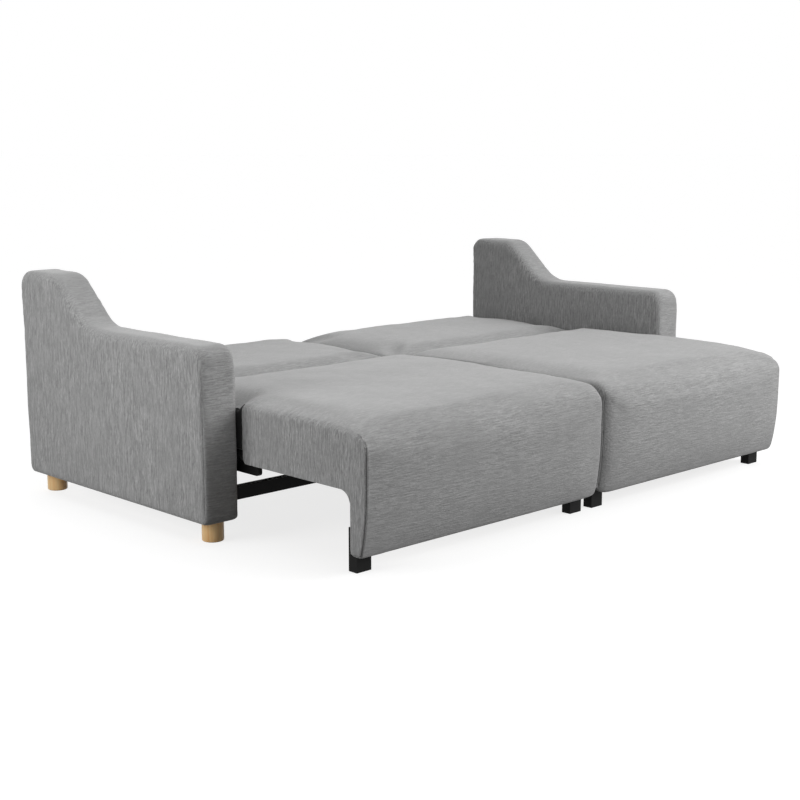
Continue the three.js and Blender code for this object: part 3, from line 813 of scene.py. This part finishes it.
def arm_edge_radius(place):
    """Soft over the top, tighter down the front and back, and small at the foot."""
    y, z = place.T
    crown = blend(y, ARM_HIGH.y, ARM_CROWN_BLEND)
    top = ARM_TOP_ROUND + (ARM_CROWN_ROUND - ARM_TOP_ROUND) * crown
    front_share = blend(z, ARM_REST_HEIGHT, ARM_FRONT_BLEND)
    back_share = blend(z, ARM_WING_HEIGHT, ARM_BACK_BLEND)
    at_back = y > ARM_HIGH.y - 2 * ARM_BACK_RADIUS
    side = np.where(at_back, ARM_BACK_EDGE, ARM_FRONT_EDGE)
    radius = side + (top - side) * np.where(at_back, back_share, front_share)
    return ARM_FOOT_RADIUS + (radius - ARM_FOOT_RADIUS) * blend(z, ARM_LOW.z, ARM_FOOT_BLEND)


def arm_mesh(name):
    bottom = ARM_LOW.z
    front, back = ARM_LOW.y, ARM_HIGH.y
    half = (ARM_HIGH.x - ARM_LOW.x) / 2
    top_line = arm_top()
    turn = np.radians(np.linspace(0, 90, ARM_CORNER_STEPS + 1))
    ys = grid_lines(
        front + ARM_FRONT_RADIUS * (1 - np.cos(turn)),
        lines(front + ARM_FRONT_RADIUS, back - ARM_BACK_RADIUS, ARM_STEP),
        back - ARM_BACK_RADIUS * (1 - np.cos(turn)),
    )
    xs = seam_lines(-half, half, ARM_STEP)
    tallest = ARM_WING_HEIGHT - bottom
    shares = seam_lines(0.0, tallest, ARM_STEP) / tallest
    filled = np.ones([len(v) - 1 for v in (xs, ys, shares)], bool)
    points, faces = cell_surface(xs, ys, shares, filled)
    top = np.interp(points[:, 1], top_line[:, 0], top_line[:, 1])
    share = points[:, 2].copy()
    points[:, 2] = bottom + share * (top - bottom)
    middle = (front + back) / 2
    points[:, 1] -= ARM_BACK_LEAN * progress(points[:, 1], middle, back) * (1 - share)
    round_corner(points, front, bottom, -1, -1, ARM_FOOT_RADIUS)
    round_corner(points, back - ARM_BACK_LEAN, bottom, 1, -1, ARM_FOOT_RADIUS)
    depth, inward, place, along, seam = rim_places(points, arm_outline(), half)
    round_sides(points, depth, inward, half, arm_edge_radius(place))
    return upholstery(name, points, faces, seam=seam, along=along, depth=depth)


def rim_direction(outline, place):
    """The direction into the outline at places on it, averaged at its corners."""
    step = np.diff(outline, axis=0)
    length = np.linalg.norm(step, axis=1)
    real = length > TINY
    step, start, length = step[real], outline[:-1][real], length[real]
    normal = np.stack([step[:, 1], -step[:, 0]], axis=1) / length[:, None]
    gaps = np.empty((len(place), len(start)))
    for i in range(len(start)):
        t = np.clip((place - start[i]) @ step[i] / length[i] ** 2, 0, 1)
        gaps[:, i] = np.linalg.norm(place - start[i] - t[:, None] * step[i], axis=1)
    result = (gaps < gaps.min(axis=1, keepdims=True) + NEAR_DOUBLE) @ normal
    return result / np.maximum(np.linalg.norm(result, axis=1), TINY)[:, None]


def build_arm(side, name):
    arm = arm_mesh(f"{name}_arm_upholstery")
    subdivide(arm)
    seam, along, depth = (unmark(arm.data, field) for field in ("seam", "along", "depth"))
    points = read_points(arm.data)
    normals = read_normals(arm.data)
    seed = ARM_SEED[name]
    high = blend(points[:, 2], ARM_LOW.z, ARM_UNEVEN_BLEND)
    upper = blend(points[:, 2], ARM_REST_HEIGHT, ARM_SEAM_BLEND)
    puff = ARM_PUFF * softly(depth, ARM_PUFF_DEPTH) / ARM_PUFF_DEPTH
    uneven = unevenness(points, ARM_UNEVEN, seed)
    groove = ARM_GROOVE[0] - ARM_GROOVE[1] * upper
    puckers = {**ARM_PUCKERS, "pucker": ARM_PUCKERS["pucker"] * upper}
    stitch = sewn(seam + ARM_SEAM_SHIFT * upper, along, seed + 2, groove, ARM_GROOVE_WIDTH, **puckers)
    points += normals * (puff + (uneven + stitch) * high)[:, None]
    points[:, 0] = side * (ARM_LOW.x + ARM_HIGH.x) / 2 + points[:, 0]
    write_points(arm.data, points)
    shade_smooth(arm)
    faces = arm.data.polygons
    under = read_values(faces, "center")[:, 2] < ARM_LOW.z + ARM_LINING_HEIGHT
    line_and_shade_faces(arm.data, under & (read_values(faces, "normal")[:, 2] < FACING_DOWN))
    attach(arm, "base")
    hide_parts(f"{name}_arm_cover")


# Seats
SEAT_FRONT = PANEL_HIGH.y - FRONT_THICK
SEAT_FOOT = PANEL_LOW.z - FRONT_FOOT_DROP
SEAT_INNER_X = STRIP_INNER.x - INNER_SWELL
SEAT_OUTER_X = STRIP_HIGH.x - OUTER_INSET
SEAT_HALF = (SEAT_OUTER_X - SEAT_INNER_X) / 2
SEAT_CENTRE = (SEAT_OUTER_X + SEAT_INNER_X) / 2
PAD_BOTTOM = SEAT_LOW.z - PAD_CLEARANCE
STRIP_INSIDE = SEAT_HALF - STRIP_THICK
SKIRT_OUTSIDE = STRIP_INSIDE + SKIRT_THICK
NOTCH_Y = BOARD_HIGH.y + NOTCH_RADIUS
NOTCH_Z = NOTCH_BOTTOM - NOTCH_RADIUS
NOTCH_TURNS = np.linspace(0, math.pi / 2, NOTCH_STEPS + 1)


def seat_outline():
    """The seat's outer profile in Y and Z."""
    front, rear, bottom = SEAT_FRONT, SEAT_HIGH.y, SEAT_FOOT
    foot = PANEL_FOOT_ROUND
    return np.concatenate([
        [(BOARD_HIGH.y, bottom)],
        arc(front + foot, bottom + foot, foot, 270, 180, steps=5),
        arc(front + FRONT_ROLL, SEAT_TOP - FRONT_ROLL, FRONT_ROLL, 180, 90),
        arc(rear - SEAT_REAR_ROUND, SEAT_TOP - SEAT_REAR_ROUND, SEAT_REAR_ROUND, 90, 0),
        [(rear, SEAT_LOW.z)],
    ])


def seat_lines():
    """The seat's grid lines along X, Y and Z, closer at its seams and its notch."""
    near = np.array(SEAM_STEPS)
    strip_end = STRIP_HIGH.y - STRIP_REAR_RADIUS
    xs = grid_lines(
        [-SEAT_HALF, STRIP_INSIDE, SKIRT_OUTSIDE, SEAT_HALF],
        -SEAT_HALF + near,
        lines(-SEAT_HALF + near[-1], -STRIP_INSIDE, PAD_STEP_X)[1:],
        lines(-STRIP_INSIDE, STRIP_INSIDE, PAD_STEP_X),
        SEAT_HALF - near,
    )
    ys = grid_lines(
        [SEAT_FRONT],
        SEAT_FRONT + near,
        lines(SEAT_FRONT + near[-1], PANEL_HIGH.y, PAD_STEP_Y),
        lines(PANEL_HIGH.y, BOARD_HIGH.y, PAD_STEP_Y),
        BOARD_HIGH.y + NOTCH_RADIUS * (1 - np.cos(NOTCH_TURNS)),
        lines(NOTCH_Y, strip_end, PAD_STEP_Y),
        lines(strip_end, STRIP_HIGH.y, STRIP_END_STEP),
        lines(STRIP_HIGH.y, SEAT_HIGH.y, PAD_STEP_Y),
    )
    zs = grid_lines(
        [SEAT_FOOT, SKIRT_BOTTOM, SEAT_TOP],
        SEAT_FOOT + near,
        lines(SEAT_FOOT + near[-1], NOTCH_Z, PAD_STEP_Z),
        NOTCH_BOTTOM - NOTCH_RADIUS * (1 - np.sin(NOTCH_TURNS)),
        lines(NOTCH_BOTTOM, PAD_BOTTOM, PAD_STEP_Z),
        lines(PAD_BOTTOM, SEAT_TOP - near[-1], PAD_STEP_Z),
        SEAT_TOP - near,
    )
    return xs, ys, zs


def seat_cells(xs, ys, zs):
    x, y, z = cell_middles(xs, ys, zs)
    at_side = np.abs(x) > STRIP_INSIDE
    at_edge = np.abs(x) > SEAT_HALF - SEAM_STEPS[-1]
    in_corner = (y < NOTCH_Y) & (z > NOTCH_Z) & (np.hypot(y - NOTCH_Y, z - NOTCH_Z) > NOTCH_RADIUS)
    pad = z > PAD_BOTTOM
    panel = y < PANEL_HIGH.y
    return_strip = at_edge & (y < BOARD_HIGH.y)
    strip = at_side & (y > BOARD_HIGH.y) & (y < STRIP_HIGH.y) & (z > NOTCH_BOTTOM)
    gusset = at_side & (y > BOARD_HIGH.y) & in_corner & (z <= NOTCH_BOTTOM)
    skirt = (x > STRIP_INSIDE) & (x < SKIRT_OUTSIDE)
    hem = skirt & (y > STRIP_HIGH.y) & (y < SKIRT_REAR) & (z > SKIRT_BOTTOM)
    return pad | panel | return_strip | strip | gusset | hem


def seat_mesh(name, inner_front_edge, inner_drop):
    """The right seat's upholstery, about its middle in X."""
    grid = seat_lines()
    points, faces = cell_surface(*grid, seat_cells(*grid))
    fit_notch(points)
    round_corner(points, SEAT_FRONT, SEAT_TOP, -1, 1, FRONT_ROLL)
    round_corner(points, SEAT_HIGH.y, SEAT_TOP, 1, 1, SEAT_REAR_ROUND)
    round_corner(points, SEAT_FRONT, SEAT_FOOT, -1, -1, PANEL_FOOT_ROUND)
    depth, inward, place, along, seam = rim_places(points, seat_outline(), SEAT_HALF)
    up = blend(place[:, 1], SEAT_TOP, SEAT_EDGE_BLEND)
    outer = points[:, :1] > 0
    top_edge, front_edge = np.where(outer, SEAT_OUTER_EDGES, (INNER_TOP_EDGE, inner_front_edge)).T
    round_sides(points, depth, inward, SEAT_HALF, front_edge + (top_edge - front_edge) * up)
    round_foot_corners(points)
    tuck_front(points)
    draw_in_inner_front(points, depth, inward, place, inner_drop)
    recess_rear_side(points)
    slope_top(points)
    return upholstery(name, points, faces, seam=seam, along=along)


def tuck_front(points):
    """Curves the lower front back under the seat."""
    low = progress(points[:, 2], FRONT_TUCK_TOP, SEAT_FOOT)
    forward = progress(points[:, 1], PANEL_HIGH.y, SEAT_FRONT)
    points[:, 1] += FRONT_TUCK * low ** FRONT_TUCK_CURVE * forward


def draw_in_inner_front(points, depth, inward, place, inner_drop):
    """Draws the front in towards the inner side, and less near its top."""
    drop = inner_drop * np.clip(1 - (points[:, 0] + SEAT_HALF) / INNER_DROP_REACH, 0, 1) ** 2
    high = smooth_step(place[:, 1], SEAT_TOP - 1.5 * FRONT_ROLL, SEAT_TOP)
    drop *= (1 - high) * np.clip(1 - depth / INNER_DROP_DEPTH, 0, 1)
    points[:, 1:] += inward * (drop * (place[:, 0] < SEAT_FRONT + FRONT_ROLL))[:, None]


def recess_rear_side(points):
    """Sets the pad's outer side back behind the strip, to clear the rails."""
    behind = blend(points[:, 1], STRIP_HIGH.y, SIDE_RECESS_BLEND)
    recess = SIDE_RECESS / SEAT_HALF * behind * (points[:, 2] > PAD_BOTTOM - TOUCH)
    points[:, 0] *= np.where(points[:, 0] > 0, 1 - recess, 1)


def slope_top(points):
    """Lets the top fall to the front and the rear."""
    across = smooth_step(points[:, 0], -SEAT_HALF, SEAT_HALF)
    fall = SEAT_INNER_FALL + (SEAT_OUTER_FALL - SEAT_INNER_FALL) * across
    ahead = progress(points[:, 1], SEAT_FALL_START, SEAT_FRONT)
    back = progress(points[:, 1], SEAT_REAR_START, SEAT_HIGH.y)
    height = progress(points[:, 2], PAD_BOTTOM, SEAT_TOP)
    points[:, 2] -= height * (fall * ahead ** 2 + SEAT_REAR_FALL * back ** 2)


def round_foot_corners(points):
    """Rounds the lower corners of the front panel."""
    radius = PANEL_CORNER_RADIUS
    x, z = points[:, 0], points[:, 2]
    a = (np.abs(x) - (SEAT_HALF - radius)) / radius
    b = (SEAT_FOOT + radius - z) / radius
    inside = (points[:, 1] < BOARD_HIGH.y + TOUCH) & (a > 0) & (b > 0)
    round_a, round_b = square_to_round(a[inside], b[inside])
    points[inside, 0] = np.sign(x[inside]) * (SEAT_HALF - radius + radius * round_a)
    points[inside, 2] = SEAT_FOOT + radius - radius * round_b


def fit_notch(points):
    """Draws the notch's steps and the strip's rear corner onto their arcs."""
    at_side = np.abs(points[:, 0]) > STRIP_INSIDE - TOUCH
    y, z = points[:, 1], points[:, 2]
    turn_y = np.arccos(np.clip((NOTCH_Y - y) / NOTCH_RADIUS, 0, 1))
    turn_z = np.arcsin(np.clip((z - NOTCH_Z) / NOTCH_RADIUS, 0, 1))
    step = NOTCH_TURNS[1]
    block = at_side & (y > BOARD_HIGH.y + TOUCH) & (z < NOTCH_BOTTOM + TOUCH) & (z > NOTCH_Z + TOUCH)
    stair = block & (np.abs(turn_z - turn_y - step) < STAIR_REACH)
    turn = turn_y[stair] + step / 2
    y[stair] = NOTCH_Y - NOTCH_RADIUS * np.cos(turn)
    z[stair] = NOTCH_Z + NOTCH_RADIUS * np.sin(turn)
    round_corner(points, STRIP_HIGH.y, NOTCH_BOTTOM, 1, -1, STRIP_REAR_RADIUS, at_side)


def held_in_seat(x, y, z):
    """The points that the simulation holds."""
    side = np.abs(x) > SEAT_HALF - HELD_SIDE - SIDE_RECESS * (y > STRIP_HIGH.y)
    under = (z < SEAT_LOW.z + HELD_UNDER) & (y > PANEL_HIGH.y - HELD_UNDER)
    behind = (y > SEAT_FRONT + HELD_BEHIND[0]) & (z < SEAT_LOW.z + HELD_BEHIND[1])
    rear = (y > SEAT_HIGH.y - HELD_REAR[0]) & (z < SEAT_LOW.z + HELD_REAR[1])
    return side | under | behind | rear | (z < SEAT_FOOT + HELD_FOOT)


def swell_seat(piece, gather_depth):
    """Puffs the top and the front, and gathers the top in beside the arm."""
    rest = read_points(piece.data)
    x, y, z = rest.T
    held = held_in_seat(x, y, z)
    move = inflate(piece, held)
    move[:, 2] = softly(move[:, 2], SEAT_CROWN)
    move[:, 1] = -softly(-move[:, 1], FRONT_SWELL)
    near_front = 1 - blend(y, SEAT_FRONT, CALM_FRONT_BLEND)
    near_inner = 1 - blend(x, -SEAT_HALF, CALM_INNER_BLEND)
    move *= (1 - CORNER_CALM * near_front * near_inner)[:, None]
    reach_x, reach_ahead, reach_behind = GATHER_REACH
    away = y - STRIP_HIGH.y - GATHER_OFFSET
    along = (away / np.where(away < 0, reach_ahead, reach_behind)) ** 2
    gather = np.exp(-(((SEAT_HALF - x) / reach_x) ** 2) - along)
    move[:, 2] -= gather_depth * gather * blend(z, SEAT_TOP, GATHER_BLEND)
    write_points(piece.data, rest + move)


# Backs
BACK_HALF = (BACK_HIGH.x - BACK_LOW.x) / 2
BACK_CENTRE = (BACK_HIGH.x + BACK_LOW.x) / 2


def back_mesh(name):
    """The right back's upholstery, about its middle in X."""
    front, rear = BACK_LOW.y, BACK_HIGH.y
    bottom = BACK_LOW.z
    wrap_bottom = FRAME_LOW.z - BACK_WRAP_DROP
    inner_rear = rear - BACK_WRAP_THICK
    xs = seam_lines(-BACK_HALF, BACK_HALF, PAD_STEP_X)
    ys = grid_lines(lines(front, inner_rear, PAD_STEP_Y), [rear])
    zs = grid_lines(
        lines(wrap_bottom, bottom, WRAP_STEP),
        lines(bottom, BACK_TOP - SEAM_STEPS[-1], PAD_STEP_Z),
        BACK_TOP - np.array((*SEAM_STEPS, 0.0)),
    )
    _, y, z = cell_middles(xs, ys, zs)
    points, faces = cell_surface(xs, ys, zs, (z > bottom) | (y > inner_rear))
    round_corner(points, front, BACK_TOP, -1, 1, BACK_FRONT_ROUND)
    round_corner(points, rear, BACK_TOP, 1, 1, BACK_END_ROUND)
    outline = np.concatenate([
        [(front, bottom)],
        arc(front + BACK_FRONT_ROUND, BACK_TOP - BACK_FRONT_ROUND, BACK_FRONT_ROUND, 180, 90),
        arc(rear - BACK_END_ROUND, BACK_TOP - BACK_END_ROUND, BACK_END_ROUND, 90, 0),
        [(rear, wrap_bottom)],
    ])
    depth, inward, place, along, seam = rim_places(points, outline, BACK_HALF)
    up = blend(place[:, 1], BACK_TOP, BACK_EDGE_BLEND)
    round_sides(points, depth, inward, BACK_HALF, BACK_FOOT_EDGE + (BACK_TOP_EDGE - BACK_FOOT_EDGE) * up)
    height = progress(points[:, 2], bottom, BACK_TOP)
    inner = np.clip(1 - (points[:, 0] + BACK_HALF) / BACK_INNER_REACH, 0, 1)
    points[:, 2] -= BACK_INNER_FALL * height * inner ** 2
    return upholstery(name, points, faces, seam=seam, along=along)


def swell_back(piece):
    rest = read_points(piece.data)
    x, y, z = rest.T
    side = (np.abs(x) > BACK_HALF - HELD_BACK_SIDE[0]) & (z < BACK_TOP - HELD_BACK_SIDE[1])
    held = side | (z < BACK_LOW.z + HELD_BACK_LOW)
    move = inflate(piece, held)
    move[:, 2] = softly(move[:, 2], BACK_CROWN)
    move[:, :2] = softly(move[:, :2], BACK_SIDE_CAP)
    write_points(piece.data, rest + move)


def build_pad(piece, body, nodes, side, centre_x, seed, pucker, fill):
    """Adds seams, puts the pad in its place and returns its seam distances."""
    subdivide(piece)
    mesh = piece.data
    seam, along = unmark(mesh, "seam"), unmark(mesh, "along")
    points = read_points(mesh)
    normals = read_normals(mesh)
    uneven = unevenness(points, PAD_UNEVEN, seed)
    soft = (points[:, 2] > SEAT_LOW.z + SOFT_HEIGHT) | (points[:, 1] < PANEL_LOW.y + SOFT_DEPTH)
    shown = seam < NO_SEAM / 2
    outer = blend(points[:, 0], 0.0, PAD_OUTER_BLEND)
    upper = blend(points[:, 2], SEAT_TOP, PAD_SEAM_BLEND)
    groove = PAD_INNER_GROOVE + outer * (PAD_GROOVE[0] - PAD_GROOVE[1] * upper)
    width = PAD_GROOVE_WIDTHS[0] + PAD_GROOVE_WIDTHS[1] * upper
    shifted = seam + PAD_SEAM_SHIFT * outer * upper
    stitch = sewn(shifted, along, seed + 2, groove, width, pucker * outer * upper, **PAD_PUCKERS)
    points += normals * (uneven * soft + stitch * shown)[:, None]
    write_points(mesh, points)
    shade_smooth(piece)
    moved = read_points(mesh)
    moved[:, 0] = side * (centre_x + moved[:, 0])
    write_points(mesh, moved)
    if side < 0:
        mesh.flip_normals()
    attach(piece, body)
    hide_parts(*nodes)
    return seam


def build_seat(side, name):
    parts = ("seat_pad", "front_panel", "outer_side_panel", "inner_side_panel")
    nodes = [f"{name}_{part}" for part in parts]
    piece = seat_mesh(f"{name}_seat_upholstery", INNER_FRONT_EDGE[name], INNER_DROP[name])
    swell_seat(piece, GATHER_DEPTH[name])
    look = {"seed": SEAT_SEED[name], "pucker": SEAT_PUCKER[name], "fill": 0.85}
    seam = build_pad(piece, f"{name}_seat", nodes, side, SEAT_CENTRE, **look)
    paint_shade_on_hidden_side(piece, side, seam)


def paint_shade_on_hidden_side(piece, side, seam):
    """Puts dark cloth on the outer side behind the strip, which the arm covers, as painted shade for the
    dark gap beside the arm; faces under the seat there get real lining.
    """
    faces = piece.data.polygons
    x, y, z = read_values(faces, "center").T
    facing = side * read_values(faces, "normal")[:, 0]
    corners = read_values(piece.data.loops, "vertex_index", np.int32, width=1)
    below = -seam[corners].reshape(-1, 4).max(axis=1)
    outside = side * x > SEAT_OUTER_X - STRIP_THICK - PAINTED_SHADE_DEPTH
    # Painted shade: side faces behind the strip get the dark cloth, besides the real lining under the seat
    hidden = (facing > PAINTED_SHADE_FACING) & (below > PAINTED_SHADE_DROP) | (z < SEAT_LOW.z)
    line_and_shade_faces(piece.data, outside & (y > STRIP_HIGH.y + PAINTED_SHADE_START) & hidden)


def build_back(side, name):
    piece = back_mesh(f"{name}_back_cushion")
    swell_back(piece)
    look = {"seed": BACK_SEED[name], "pucker": BACK_PUCKER, "fill": 0.8}
    build_pad(piece, f"{name}_back", [f"{name}_back_pad"], side, BACK_CENTRE, **look)


# Wooden feet
def build_foot(node):
    low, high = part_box(node)
    centre = (low + high) / 2
    radius = (high.x - low.x) / 2
    height = high.z - low.z
    bevel = FOOT_BEVEL
    profile = [(0.0, 0.0), (radius - 2 * bevel, 0.0)]
    for turn in FOOT_BEVEL_TURNS:
        profile.append((radius - bevel + bevel * math.sin(turn), bevel - bevel * math.cos(turn)))
    profile += [(radius, height * share) for share in FOOT_RINGS]
    profile += [(radius, height), (0.0, height)]
    mesh = bmesh.new()
    verts = [mesh.verts.new((r, 0, z)) for r, z in profile]
    edges = [mesh.edges.new(pair) for pair in zip(verts, verts[1:])]
    turned = {"cent": (0, 0, 0), "axis": (0, 0, 1), "angle": 2 * math.pi, "steps": 64}
    bmesh.ops.spin(mesh, geom=verts + edges, use_merge=True, **turned)
    bmesh.ops.remove_doubles(mesh, verts=mesh.verts, dist=TOUCH)
    bmesh.ops.recalc_face_normals(mesh, faces=mesh.faces)
    bmesh.ops.translate(mesh, verts=mesh.verts, vec=(centre.x, centre.y, low.z))
    data = bpy.data.meshes.new(node + "_turned")
    mesh.to_mesh(data)
    mesh.free()
    data.materials.append(MATERIALS["light_wood"])
    piece = add_object(node + "_turned", data)
    shade_smooth(piece)
    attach(piece, "base")
    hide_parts(node)


def dress_nodes():
    slots = {part["node"]: part["material_slot"] for part in frame["record"]["subparts"]}
    for name, node in frame["nodes"].items():
        node.data.materials.clear()
        node.data.materials.append(MATERIALS[slots[name]])


# Stage, light and camera
def seen_rays(s):
    """1 for the rays that show the background."""
    path = s.add("LightPath").outputs
    seen = s.math("MAXIMUM", path["Is Camera Ray"], path["Is Glossy Ray"])
    return s.math("MAXIMUM", seen, path["Is Transmission Ray"])


def build_floor():
    """A floor that looks white but bounces little light, and keeps the sofa's shadow."""
    bpy.ops.mesh.primitive_plane_add(size=FLOOR_SIZE, location=(0, 0, 0))
    floor = bpy.context.object
    floor.name = "floor"
    s = surface("pale_floor")
    dull = s.add("BsdfDiffuse", Color=FLOOR_BOUNCE).outputs[0]
    shaded = s.add("BsdfDiffuse", Color=FLOOR_SHADED).outputs[0]
    glow = s.add("Emission", Color=WHITE, Strength=FLOOR_GLOW).outputs[0]
    pale = s.join(s.add("AddShader"), shaded, glow)
    s.end_in(s.join(s.add("MixShader"), seen_rays(s), dull, pale))
    floor.data.materials.append(s.owner)


def build_world():
    """Even light from all round, with a white background."""
    world = bpy.data.worlds.new("studio")
    bpy.context.scene.world = world
    s = Shader(world, "ShaderNodeOutputWorld")
    ambient = s.add("Background", Color=WHITE, Strength=AMBIENT).outputs[0]
    white = s.add("Background", Color=WHITE, Strength=1.0).outputs[0]
    s.end_in(s.join(s.add("MixShader"), seen_rays(s), ambient, white))


def soft_sun(name, direction, strength, spread):
    """Broad, even light from one direction."""
    data = bpy.data.lights.new(name, "SUN")
    data.energy = strength * math.pi
    data.angle = math.radians(spread)
    lamp = add_object(name, data)
    lamp.rotation_euler = Vector(direction).to_track_quat("Z", "Y").to_euler()


def soft_panel(name, place, target, size, power):
    """A square lamp that faces its target."""
    data = bpy.data.lights.new(name, "AREA")
    data.size = size
    data.energy = power
    lamp = add_object(name, data)
    lamp.visible_camera = False
    lamp.location = place
    lamp.rotation_euler = (Vector(target) - Vector(place)).to_track_quat("-Z", "Y").to_euler()


def build_camera():
    data = bpy.data.cameras.new("camera")
    data.sensor_width = SENSOR_WIDTH
    data.lens = FOCAL_PIXELS / IMAGE_PIXELS * SENSOR_WIDTH
    data.clip_end = CAMERA_REACH
    camera = add_object("camera", data)
    camera.location = CAMERA_PLACE
    camera.rotation_euler = (math.pi / 2 - CAMERA_PITCH, 0, -CAMERA_YAW)
    bpy.context.scene.camera = camera


LINING_AND_PAINTED_SHADE = lining_and_shade_material()
MATERIALS = {
    "grey_fabric": fabric_material(),
    "black_steel": black_steel_material(),
    "light_wood": foot_wood_material(),
    "plywood": plywood_material(),
    "nylon": nylon_material(),
    "zinc_steel": zinc_material(),
}

build_camera()
build_floor()
build_world()
for sun in SUNS:
    soft_sun(*sun)
for panel in PANELS:
    soft_panel(*panel)
dress_nodes()
for side, name in ((-1, "left"), (1, "right")):
    build_arm(side, name)
    build_seat(side, name)
    build_back(side, name)
    for end in ("front", "rear"):
        build_foot(f"{name}_{end}_wood_foot")

bpy.context.scene.view_settings.view_transform = "Standard"
bpy.context.view_layer.update()
